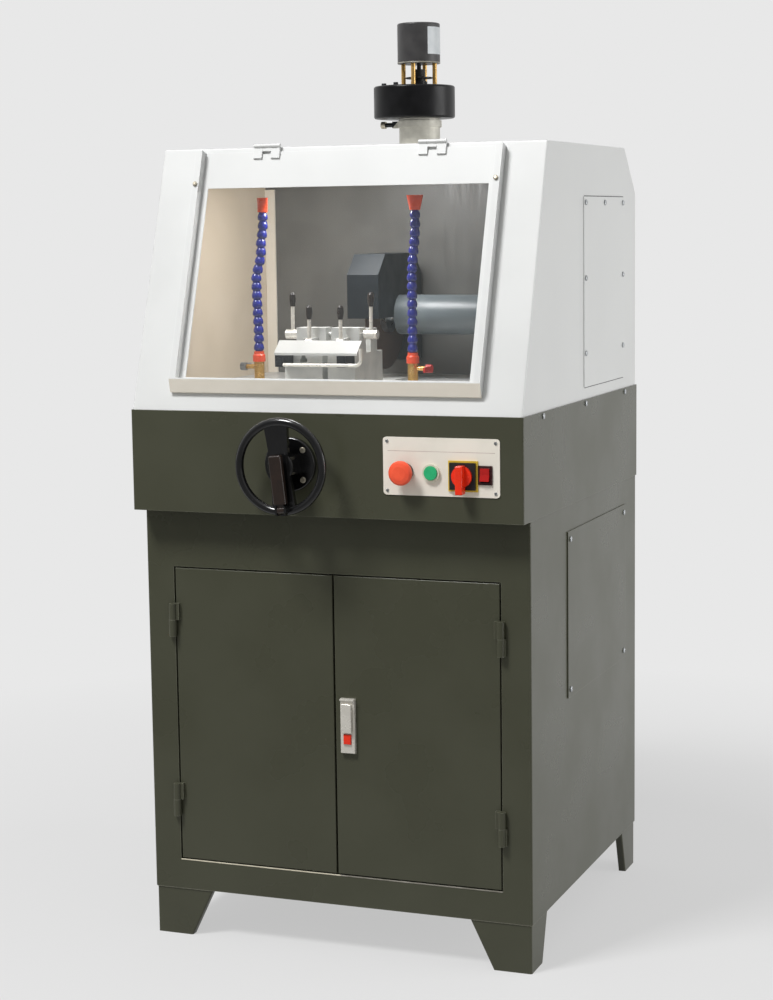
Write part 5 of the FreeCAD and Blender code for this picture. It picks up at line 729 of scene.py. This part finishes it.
@dataclass
class Cabinet:
    """Cabinet on its feet, with the sill of the door opening and the door lock."""

    open_half: float = 297.0
    open_low: float = 137.0
    meet: float = 6.0
    sill_proud: float = 0.8
    sill_sunk: float = 1.0
    sill_drop: float = 1.4
    sill_rise: float = 0.8
    sill_edge: float = 0.7
    foot_w: float = 108.0
    foot_d: float = 91.0
    ripple: float = 4.4
    weld_r: float = 1.7
    weld_sides: int = 12
    weld_end: float = 0.5
    dip: tuple[float, float] = (0.15, 0.8)
    crest_at: float = 0.6
    wave: tuple[float, float] = (0.12, 2.4)
    lip: tuple[float, float, float, float] = (3.2, 3.2, 2.0, 0.9)

    def dress(self) -> None:
        """Give the window's hinge posts the hood's enamel."""
        dress("fixed_hinges", OLIVE, WHITE)
        hood_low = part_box("hood_shell")[0].z
        for solid in solids_of("fixed_hinges"):
            if solid.low[2] > hood_low:
                paint("fixed_hinges", solid.faces, 1)

    def build(self) -> None:
        """Add what the folded sheets carry."""
        self.sill()
        self.welds()
        self.lock_lip()

    def sill(self) -> None:
        """Lay the bright edge below the left door, partly rubbed steel and partly painted highlight,
        and a dimmer painted highlight below the right door.
        """
        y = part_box("cabinet_shell")[0].y / MM
        z = self.open_low
        # Left: partly rubbed steel, partly painted highlight; right: a dimmer painted highlight
        spans = (
            ("sill_edge_left", -self.open_half, self.meet, SILL_WEAR_AND_HIGHLIGHT),
            ("sill_edge_right", self.meet, self.open_half, DIM_EDGE_HIGHLIGHT),
        )
        for name, x0, x1, finish in spans:
            near = (x0, y - self.sill_proud, z - self.sill_drop)
            far = (x1, y + self.sill_sunk, z + self.sill_rise)
            settle(slab(name, near, far, self.sill_edge), "machine", finish)

    def weld(self, name: str, corner: Vector, axis: Vector, length: float) -> bpy.types.Object:
        """Run a rippled weld bead from a corner.

        Args:
            name: Name of the object.
            corner: Where it starts, in metres.
            axis: Where it runs.
            length: How far, in millimetres.

        Returns:
            The bead.
        """
        count = int(length / self.ripple)
        dip_at, dip = self.dip
        swell, turn = self.wave
        profile = [(self.weld_r * self.weld_end, 0.0)]
        for i in range(count):
            high = self.weld_r * (1.0 + swell * math.sin(i * turn))
            profile.append((self.weld_r * dip, (i + dip_at) * self.ripple))
            profile.append((high, (i + self.crest_at) * self.ripple))
        profile.append((self.weld_r * self.weld_end, count * self.ripple))
        made = turned(name, profile, self.weld_sides)
        stand(made, corner, axis)
        return made

    def welds(self) -> None:
        """Weld the feet to the floor sheet, on the outer sides that have a plate."""
        low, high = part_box("cabinet_feet")
        beads = []
        for sx, x in ((-1, low.x), (1, high.x)):
            for sy, y in ((-1, low.y), (1, high.y)):
                corner = Vector((x, y, high.z))
                name = f"foot_weld_{sx}_{sy}"
                beads.append(self.weld(name, corner, Vector((0, -sy, 0)), self.foot_d))
                if sy < 0:
                    across = Vector((-sx, 0, 0))
                    beads.append(self.weld(name + "_front", corner, across, self.foot_w))
        settle(joined("foot_welds", beads), "machine", WELD)

    def lock_lip(self) -> None:
        """Add the turned-up end of the lock plate."""
        low, high = (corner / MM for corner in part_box("lock_base"))
        tall, proud, sunk, edge = self.lip
        near = (low.x, low.y - proud, high.z - tall)
        far = (high.x, low.y + sunk, high.z)
        settle(slab("lock_lip", near, far, edge), "right_door", CHROME)


@dataclass
class Fasteners:
    """Pan-head screws with a cross recess, on the panels and on the bearing flange."""

    head_r: float = 5.0
    head_h: float = 2.6
    head_sides: int = 24
    head_steps: Steps = ((0.94, 0.0), (1.0, 0.12), (1.0, 0.5), (0.93, 0.75), (0.76, 0.93), (0.45, 1.0))
    recess: tuple[float, float, float] = (5.4, 1.1, 1.3)
    recess_edge: float = 0.15
    clear: float = 1.0
    turn: float = 2.4

    def dress(self) -> None:
        """Plate the screws."""
        dress("panel_screws", ZINC)

    def head(self) -> bpy.types.Object:
        """Model one screw head at the origin, standing up.

        Returns:
            The head.
        """
        r, h = self.head_r, self.head_h
        made = turned("screw_head", [(r * a, h * b) for a, b in self.head_steps], self.head_sides)
        long, wide, deep = self.recess
        for x, y in ((long, wide), (wide, long)):
            near = (-x / 2, -y / 2, h - deep)
            far = (x / 2, y / 2, h + self.clear)
            carve(made, slab("recess", near, far, self.recess_edge, 1))
        return made

    def build(self) -> None:
        """Set a head on every screw of the case."""
        model = self.head()
        groups: dict[str, list[bpy.types.Object]] = {"panel": [], "dial": []}
        low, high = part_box("dial_flange")
        for i, solid in enumerate(solids_of("panel_screws")):
            along = int(np.argmax(solid.size))
            out = math.copysign(1.0, solid.middle[along])
            axis = Vector((0, 0, 0))
            axis[along] = out
            seat = Vector(solid.middle)
            seat[along] = (solid.high if out > 0 else solid.low)[along] - out * self.head_h * MM
            on_dial = along == 1 and low.x < seat.x < high.x and out < 0
            kind = "dial" if on_dial else "panel"
            piece = copy_of(model, f"{kind}_screw_{i}")
            stand(piece, seat, axis, i * self.turn)
            groups[kind].append(piece)
        bpy.data.objects.remove(model)
        for kind, finish in (("panel", ZINC), ("dial", STUD)):
            heads = joined(f"{kind}_screw_heads", groups[kind])
            settle(heads, "machine", finish, ["panel_screws"])


@dataclass
class Hood:
    """White hood with its lift-up window."""

    inside: tuple[float, float, float] = (0.0, 60.0, 1130.0)
    stud_mm: float = 15.0
    lip_mm: float = 21.0
    shade_strip: tuple[float, float, float] = (1.6, 0.3, 5.0)
    shade_strip_lap: float = 0.4
    shade_strip_edge: float = 0.4

    def dress(self) -> None:
        """Give the hood its inner enamel, and the window its studs and its lip, whose lighter white is
        painted light from the floor.
        """
        dress("hood_shell", WHITE, CREAM)
        centres, normals = face_table("hood_shell")
        outward = ((centres - np.array(self.inside) * MM) * normals).sum(1)
        paint("hood_shell", np.nonzero(outward < 0)[0], 1)
        dress("window_frame", WHITE, STUD, WHITE_PAINTED_LIGHTER)
        centres, _ = face_table("window_frame")
        # The lip's lighter, warmer white is painted light from the floor
        lip_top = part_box("window_frame")[0].z + self.lip_mm * MM
        paint("window_frame", np.nonzero(centres[:, 2] < lip_top)[0], 2)
        for solid in solids_of("window_frame"):
            if solid.size.max() < self.stud_mm * MM:
                paint("window_frame", solid.faces, 1)

    def build(self) -> None:
        """Let a dark strip show above and below the side plate: painted shade for the shadow lines
        along its edges.
        """
        low, high = (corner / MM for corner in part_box("hood_side_plate"))
        tall, under, short = self.shade_strip
        # Dark strips as painted shade along the plate's upper and lower edges
        for name, z0, z1 in (
            ("plate_shade_strip_top", high.z - self.shade_strip_lap, high.z + tall),
            ("plate_shade_strip_low", low.z - tall, low.z + self.shade_strip_lap),
        ):
            near = (low.x, low.y + short, z0)
            far = (high.x - under, high.y - short, z1)
            settle(slab(name, near, far, self.shade_strip_edge), "machine", SHADE_STRIP)


@dataclass
class Switches:
    """Control plate with its buttons, isolator and rocker."""

    rivet_mm: float = 10.0
    frame_mm: float = 47.0
    near_mm: float = 5.0
    rule_drop: float = 23.0
    rule: tuple[float, float, float] = (8.0, 0.7, 0.12)
    rule_sunk: float = 0.2
    rule_edge: float = 0.1

    def dress(self) -> None:
        """Give bezels and rivets their own finishes."""
        dress("control_plate", PLATE, ZINC)
        for solid in solids_of("control_plate"):
            if solid.size.max() < self.rivet_mm * MM:
                paint("control_plate", solid.faces, 1)
        dress("button_bezels", BLACK, IVORY, YELLOW, MAROON)
        places = [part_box(name) for name in ("start_button", "isolator_handle", "rocker_key")]
        start, isolator, rocker = [(low.x + high.x) / 2 for low, high in places]
        near = self.near_mm * MM
        for solid in solids_of("button_bezels"):
            x = solid.middle[0]
            if abs(x - start) < near:
                paint("button_bezels", solid.faces, 1)
            elif abs(x - isolator) < 2 * near and solid.size[0] > self.frame_mm * MM:
                paint("button_bezels", solid.faces, 2)
            elif abs(x - rocker) < near:
                paint("button_bezels", solid.faces, 3)

    def build(self) -> None:
        """Print the line across the plate."""
        low, high = (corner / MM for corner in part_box("control_plate"))
        face = max(solids_of("control_plate"), key=lambda s: s.size[0]).low[1] / MM
        inset, tall, proud = self.rule
        z = high.z - self.rule_drop
        near = (low.x + inset, face - proud, z)
        far = (high.x - inset, face + self.rule_sunk, z + tall)
        line = slab("plate_rule", near, far, self.rule_edge, 1)
        settle(line, "machine", PRINT)


@dataclass
class Chamber:
    """Vise table, clamp levers, coolant hoses and what stands behind them."""

    cut_x: float = -53.0
    hose_spread: float = 144.0
    pitch: float = 15.1
    links: int = 16
    ball_r: float = 9.0
    waist_r: float = 6.4
    link_sides: int = 28
    neck: tuple[float, float] = (0.05, 0.92)
    rise: Steps = ((0.1, 0.84), (0.18, 0.945), (0.3, 1.0))
    fall: Steps = ((0.42, 1.0), (0.55, 0.97), (0.68, 0.91), (0.78, 0.84), (0.86, 0.77))
    knob_mm: float = 25.0
    rod_mm: float = 60.0
    strip_mm: float = 3.8
    left_leans: Steps = ((0.08, 0.0), (0.5, -2.5), (0.72, 7.0), (0.93, 12.0))
    right_leans: Steps = ((0.5, 0.0), (0.93, 7.0))

    def dress(self) -> None:
        """Give levers, bar and strip their own finishes."""
        for i in range(1, 5):
            name = f"clamp_lever_{i}"
            dress(name, CHROME, KNOB)
            centres, _ = face_table(name)
            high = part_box(name)[1].z
            paint(name, np.nonzero(centres[:, 2] > high - self.knob_mm * MM)[0], 1)
        dress("clamp_bar", BAR_WHITE, BLACKED, CHROME)
        bar = max(solids_of("clamp_bar"), key=lambda s: np.prod(s.size))
        for solid in solids_of("clamp_bar"):
            if np.allclose(solid.middle, bar.middle):
                continue
            paint("clamp_bar", solid.faces, 2 if solid.size[0] > self.rod_mm * MM else 1)
        # The splash panel's strip takes the same white, painted lighter than the hood's
        dress("splash_panel", SPLASH, WHITE_PAINTED_LIGHTER)
        centres, _ = face_table("splash_panel")
        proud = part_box("splash_panel")[0].y + self.strip_mm * MM
        paint("splash_panel", np.nonzero(centres[:, 1] < proud)[0], 1)

    def hose_line(self, side: Side, up: float) -> tuple[Vector, Vector]:
        """Find a hose's centre line at a height above its foot.

        Args:
            side: Which hose.
            up: Height in millimetres.

        Returns:
            The point in metres and the line's direction there.
        """
        low, high = (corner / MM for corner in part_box("coolant_hoses"))
        height = self.pitch * self.links
        leans = self.left_leans if side is Side.LEFT else self.right_leans
        x = self.cut_x + side.value * self.hose_spread
        slope = 0.0
        for (at, start), (to, end) in zip(leans, leans[1:]):
            share = min(max((up / height - at) / (to - at), 0.0), 1.0)
            x += (end - start) * (1 - math.cos(math.pi * share)) / 2
            slope += (end - start) * math.sin(math.pi * share) * math.pi / 2 / (to - at) / height
        place = Vector((x, (low.y + high.y) / 2, low.z + up)) * MM
        return place, Vector((slope, 0, 1)).normalized()

    def build(self) -> None:
        """Model one hose link and set copies of it along both hoses."""
        p, r, w = self.pitch, self.ball_r, self.waist_r
        start, end = self.neck
        steps = [(w, 0.0), (w, start * p)]
        steps += [(share * r, at * p) for at, share in self.rise + self.fall]
        steps += [(w, end * p), (w, p)]
        link = turned("hose_link", steps, self.link_sides)
        pieces = []
        for side in Side:
            for i in range(self.links):
                foot, axis = self.hose_line(side, i * p)
                piece = copy_of(link, f"hose_link_{side.name.lower()}_{i}")
                stand(piece, foot, axis)
                pieces.append(piece)
        bpy.data.objects.remove(link)
        hoses = joined("coolant_hose_links", pieces)
        settle(hoses, "machine", HOSE_BLUE, ["coolant_hoses"])


@dataclass
class Extraction:
    """Fan on the hood: duct, clamp, volute, standoffs and motor."""

    post_mm: float = 12.0
    head_mm: float = 9.0
    lug_mm: float = -0.6
    motor_r: float = 38.5
    label: tuple[float, float, float, float] = (8.0, 56.0, 44.0, 140.0)
    label_t: float = 0.4
    label_sunk: float = 0.2
    label_sides: int = 120
    label_smooth: float = 30.0
    lip_r: float = 0.9
    lip_tall: float = 1.6
    lip_sides: tuple[int, int] = (72, 12)
    lip_smooth: float = 60.0
    disc: tuple[float, float, float] = (24.5, 13.0, 2.6)
    disc_edge: tuple[float, float] = (0.6, 0.5)
    disc_sides: int = 40
    hub: tuple[float, float, float] = (15.0, 0.8, 8.0)
    neck: float = 0.5
    caps: Steps = ((-48.0, -28.0), (-16.0, -52.0))
    cap_washer: Steps = ((6.0, 0.0), (6.0, 0.8))
    cap_head: Steps = ((4.4, 0.9), (4.4, 4.6), (4.0, 5.2))
    cap_socket: Steps = ((2.2, 5.2), (2.2, 3.2))
    cap_sides: int = 24

    def dress(self) -> None:
        """Give standoffs, clamp and shaft their own finishes."""
        dress("fan_motor", FAN_GREY, BRASS)
        for solid in solids_of("fan_motor"):
            if solid.size[0] < self.post_mm * MM:
                paint("fan_motor", solid.faces, 1)
        dress("fan_duct", DUCT, BLACKED, STUD)
        bolt = min(solids_of("fan_duct"), key=lambda s: s.middle[0])
        centres, _ = face_table("fan_duct")
        band = max(solids_of("fan_duct"), key=lambda s: s.size[0])
        lug = np.nonzero(centres[:, 0] < band.high[0] - band.size[1] - self.lug_mm * MM)[0]
        paint("fan_duct", lug, 1)
        tip = bolt.faces[centres[bolt.faces, 0] < bolt.low[0] + self.head_mm * MM]
        paint("fan_duct", tip, 2)
        dress("fan_impeller", IMPELLER, BLACK)
        centres, _ = face_table("fan_impeller")
        paint("fan_impeller", np.nonzero(centres[:, 2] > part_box("fan_volute")[1].z)[0], 1)

    def axis(self) -> Vector:
        """Find the motor's axis at its lower face, in millimetres."""
        can = max(solids_of("fan_motor"), key=lambda s: s.size[0])
        return Vector((can.middle[0], can.middle[1], can.low[2])) / MM

    def build(self) -> None:
        """Add the motor's label and lip, the coupling and the volute's cap screws."""
        foot = self.axis()
        self.blank_label(foot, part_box("fan_motor")[1].z / MM)
        self.lip(foot)
        self.coupling(foot)
        self.cap_screws()

    def blank_label(self, foot: Vector, top: float) -> None:
        """Wrap a plain label round the motor's right side.

        Args:
            foot: Axis at the motor's lower face.
            top: Level of the motor's upper face.
        """
        drop0, drop1, turn0, turn1 = self.label
        clear_selection()
        bpy.ops.mesh.primitive_cylinder_add(
            vertices=self.label_sides,
            radius=(self.motor_r + self.label_t) * MM,
            depth=(drop1 - drop0) * MM,
            end_fill_type="NOTHING",
            location=Vector((foot.x, foot.y, top - (drop0 + drop1) / 2)) * MM,
        )
        made = bpy.context.object
        made.name = "motor_label"
        bpy.ops.object.transform_apply(location=True, rotation=False, scale=False)

        def on_label(place: Vector) -> bool:
            """Keep what lies between the label's two turns from the front."""
            turn = math.degrees(math.atan2(place.x - foot.x * MM, foot.y * MM - place.y))
            return turn0 < turn < turn1

        keep_faces(made, on_label)
        sheet = made.modifiers.new("sheet", "SOLIDIFY")
        sheet.thickness = (self.label_t + self.label_sunk) * MM
        sheet.offset = -1.0
        bpy.ops.object.modifier_apply(modifier=sheet.name)
        smooth(self.label_smooth)
        settle(made, "machine", LABEL)

    def lip(self, foot: Vector) -> None:
        """Roll a lip round the motor's lower end.

        Args:
            foot: Axis at the motor's lower face.
        """
        clear_selection()
        around, across = self.lip_sides
        middle = Vector((foot.x, foot.y, foot.z + 2 * self.lip_r)) * MM
        bpy.ops.mesh.primitive_torus_add(
            major_radius=(self.motor_r - self.lip_r * 0.5) * MM,
            minor_radius=self.lip_r * MM,
            major_segments=around,
            minor_segments=across,
            location=middle,
        )
        made = bpy.context.object
        made.name = "motor_lip"
        bpy.ops.object.transform_apply(location=True, rotation=False, scale=False)
        bpy.ops.object.mode_set(mode="EDIT")
        bpy.ops.mesh.select_all(action="SELECT")
        bpy.ops.transform.resize(value=(1, 1, self.lip_tall), center_override=middle)
        bpy.ops.object.mode_set(mode="OBJECT")
        smooth(self.lip_smooth)
        # The lip's pale grey is a dim painted highlight along the motor's rim
        settle(made, "machine", DIM_EDGE_HIGHLIGHT)

    def coupling(self, foot: Vector) -> None:
        """Put a slinger disc and a hub on the shaft above the volute.

        Args:
            foot: Axis at the motor's lower face.
        """
        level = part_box("fan_volute")[1].z / MM
        r, up, t = self.disc
        hub_r, hub_low, hub_high = self.hub
        inset, edge = self.disc_edge
        neck = r * self.neck
        steps = [(hub_r, hub_low), (hub_r, hub_high), (neck, hub_high + edge), (neck, up)]
        steps += [(r - inset, up), (r, up + edge), (r, up + t - edge), (r - inset, up + t)]
        made = turned("shaft_slinger", steps, self.disc_sides)
        stand(made, Vector((foot.x, foot.y, level)) * MM, Vector((0, 0, 1)))
        settle(made, "fan_rotor", BLACK)

    def cap_screws(self) -> None:
        """Set the two cap screws on the volute's upper face."""
        low, high = (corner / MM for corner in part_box("fan_volute"))
        middle = Vector(((low.x + high.x) / 2, low.y + (high.x - low.x) / 2, high.z))
        steps = self.cap_washer + self.cap_head + self.cap_socket
        heads = []
        for i, (x, y) in enumerate(self.caps):
            head = turned(f"volute_cap_screw_{i}", steps, self.cap_sides)
            stand(head, (middle + Vector((x, y, 0))) * MM, Vector((0, 0, 1)))
            heads.append(head)
        settle(joined("volute_cap_screws", heads), "machine", BLACKED)


@dataclass(frozen=True)
class Lamp:
    """Soft square lamp, with its place, its target and its side in metres."""

    name: str
    place: tuple[float, float, float]
    target: tuple[float, float, float]
    side: float
    watts: float

    def hang(self) -> None:
        """Hang the lamp so that it points at its target."""
        data = bpy.data.lights.new(self.name, "AREA")
        data.shape = "SQUARE"
        data.size = self.side
        data.energy = self.watts
        made = bpy.data.objects.new(self.name, data)
        aim = Vector(self.target) - Vector(self.place)
        turn = aim.to_track_quat("-Z", "Y").to_matrix().to_4x4()
        made.matrix_world = Matrix.Translation(Vector(self.place)) @ turn
        bpy.context.scene.collection.objects.link(made)


LAMPS = (
    # High in front on the left: the main light, which leaves the shade under the case
    Lamp("key", (-1.5, -3.0, 5.4), (0.0, 0.0, 0.9), 1.4, 290.0),
    # Low on the right: lifts the side sheets
    Lamp("side", (3.5, 0.6, 1.0), (0.35, 0.05, 0.7), 2.0, 52.0),
    # Under the hood's roof: lights what stands behind the window
    Lamp("chamber", (-0.05, -0.08, 1.34), (-0.08, 0.0, 1.0), 0.16, 2.0),
)


@dataclass
class Studio:
    """Camera, lamps, floor and backdrop."""

    focal_px: float = 2145.6
    frame_px: float = 1000.0
    sensor_mm: float = 36.0
    azimuth: float = 0.370371
    elevation: float = 0.128685
    roll: float = -0.013511
    eye: tuple[float, float, float] = (1.3733, -3.5692, 1.2423)
    clip_m: float = 100.0
    backdrop: str = "e8e8e8"
    fill_tone: str = "ffffff"
    fill: float = 0.41
    dim: float = 0.25
    floor_m: float = 60.0
    floor_tone: str = "d1d1d1"
    bounce_tone: str = "b8b8b5"
    front: tuple[float, float] = (-0.9, 0.1)
    fade_m: float = 2.2
    fade: tuple[float, float] = (0.02, 0.6)
    shade: float = 0.36

    def camera(self) -> None:
        """Set up the camera of the photograph."""
        data = bpy.data.cameras.new("view")
        data.sensor_width = self.sensor_mm
        data.sensor_fit = "AUTO"
        data.lens = self.focal_px * self.sensor_mm / self.frame_px
        data.clip_end = self.clip_m
        az, el = self.azimuth, self.elevation
        back = Vector(
            (math.sin(az) * math.cos(el), -math.cos(az) * math.cos(el), math.sin(el))
        )
        right = Vector((math.cos(az), math.sin(az), 0))
        up = back.cross(right)
        c, s = math.cos(self.roll), math.sin(self.roll)
        turn = Matrix((c * right + s * up, c * up - s * right, back)).transposed()
        cam = bpy.data.objects.new("view", data)
        cam.matrix_world = Matrix.Translation(Vector(self.eye)) @ turn.to_4x4()
        bpy.context.scene.collection.objects.link(cam)
        bpy.context.scene.camera = cam

    def seen(self, tree: bpy.types.NodeTree) -> Socket:
        """Tell the rays that show a surface from those that only light the machine.

        Args:
            tree: Node tree of the world or the floor.

        Returns:
            The socket that is 1 for camera, glossy and transmission rays.
        """
        path = add_node(tree, "ShaderNodeLightPath").outputs
        share = path["Is Camera Ray"]
        for other in ("Is Glossy Ray", "Is Transmission Ray"):
            share = add_node(
                tree, "ShaderNodeMath", {"operation": "MAXIMUM"}, {0: share, 1: path[other]}
            ).outputs["Value"]
        return share

    def pale(self, tree: bpy.types.NodeTree, kind: str, toward: Socket) -> Socket:
        """Give the backdrop's light, dimmer for gloss in front of the machine.

        Args:
            tree: Node tree of the world or the floor.
            kind: Node that gives the light.
            toward: Socket of the place or direction along Y.

        Returns:
            The socket of the light.
        """
        low, high = self.front
        front = add_node(
            tree,
            "ShaderNodeMapRange",
            links={"Value": toward, "From Min": low, "From Max": high, "To Min": self.dim},
        ).outputs["Result"]
        gloss = add_node(tree, "ShaderNodeLightPath").outputs["Is Glossy Ray"]
        level = add_node(
            tree, "ShaderNodeMix", {"data_type": "FLOAT"}, {"Factor": gloss, "A": 1.0, "B": front}
        ).outputs["Result"]
        links = {"Color": linear(self.backdrop), "Strength": level}
        return add_node(tree, kind, links=links).outputs[0]

    def world(self) -> None:
        """Light all round, with the pale backdrop for the camera, gloss and glass."""
        world = bpy.data.worlds.new("studio")
        bpy.context.scene.world = world
        world.use_nodes = True
        tree = world.node_tree
        tree.nodes.clear()
        toward = add_node(
            tree,
            "ShaderNodeSeparateXYZ",
            links={"Vector": add_node(tree, "ShaderNodeTexCoord").outputs["Generated"]},
        ).outputs["Y"]
        fill = add_node(
            tree,
            "ShaderNodeBackground",
            links={"Color": linear(self.fill_tone), "Strength": self.fill},
        ).outputs["Background"]
        plain = self.pale(tree, "ShaderNodeBackground", toward)
        shares = {0: self.seen(tree), 1: fill, 2: plain}
        mix = add_node(tree, "ShaderNodeMixShader", links=shares).outputs["Shader"]
        add_node(tree, "ShaderNodeOutputWorld", links={"Surface": mix})

    def floor(self) -> None:
        """Lay the floor: it takes shadows near the machine and fades into the backdrop."""
        clear_selection()
        bpy.ops.mesh.primitive_plane_add(size=self.floor_m, location=(0, 0, 0))
        ground = bpy.context.object
        ground.name = "studio_floor"
        made = bpy.data.materials.new("studio_floor")
        made.use_nodes = True
        tree = made.node_tree
        tree.nodes.clear()
        place = add_node(tree, "ShaderNodeTexCoord").outputs["Object"]
        scaled = add_node(
            tree, "ShaderNodeMapping", links={"Vector": place, "Scale": (1 / self.fade_m,) * 3}
        ).outputs["Vector"]
        gradient = add_node(
            tree, "ShaderNodeTexGradient", {"gradient_type": "SPHERICAL"}, {"Vector": scaled}
        ).outputs["Fac"]
        low, high = self.fade
        near = add_node(
            tree,
            "ShaderNodeMapRange",
            links={"Value": gradient, "From Min": low, "From Max": high, "To Max": self.shade},
        ).outputs["Result"]
        matt = add_node(
            tree, "ShaderNodeBsdfDiffuse", links={"Color": linear(self.floor_tone)}
        ).outputs["BSDF"]
        bounce = add_node(
            tree, "ShaderNodeBsdfDiffuse", links={"Color": linear(self.bounce_tone)}
        ).outputs["BSDF"]
        along = add_node(tree, "ShaderNodeSeparateXYZ", links={"Vector": place}).outputs["Y"]
        plain = self.pale(tree, "ShaderNodeEmission", along)
        shares = {0: near, 1: plain, 2: matt}
        faded = add_node(tree, "ShaderNodeMixShader", links=shares).outputs["Shader"]
        shares = {0: self.seen(tree), 1: bounce, 2: faded}
        mix = add_node(tree, "ShaderNodeMixShader", links=shares).outputs["Shader"]
        add_node(tree, "ShaderNodeOutputMaterial", links={"Surface": mix})
        ground.data.materials.append(made)

    def build(self) -> None:
        """Set up everything round the machine."""
        bpy.context.scene.view_settings.view_transform = "Standard"
        self.camera()
        self.world()
        self.floor()
        for lamp in LAMPS:
            lamp.hang()


def main() -> None:
    """Build the machine's looks in order."""
    logging.basicConfig(level=logging.INFO, format="%(name)s: %(message)s")
    dress_nodes()
    for part in (Cabinet(), Fasteners(), Hood(), Switches(), Chamber(), Extraction()):
        part.dress()
        part.build()
    Studio().build()


if __name__ == "__main__":
    main()
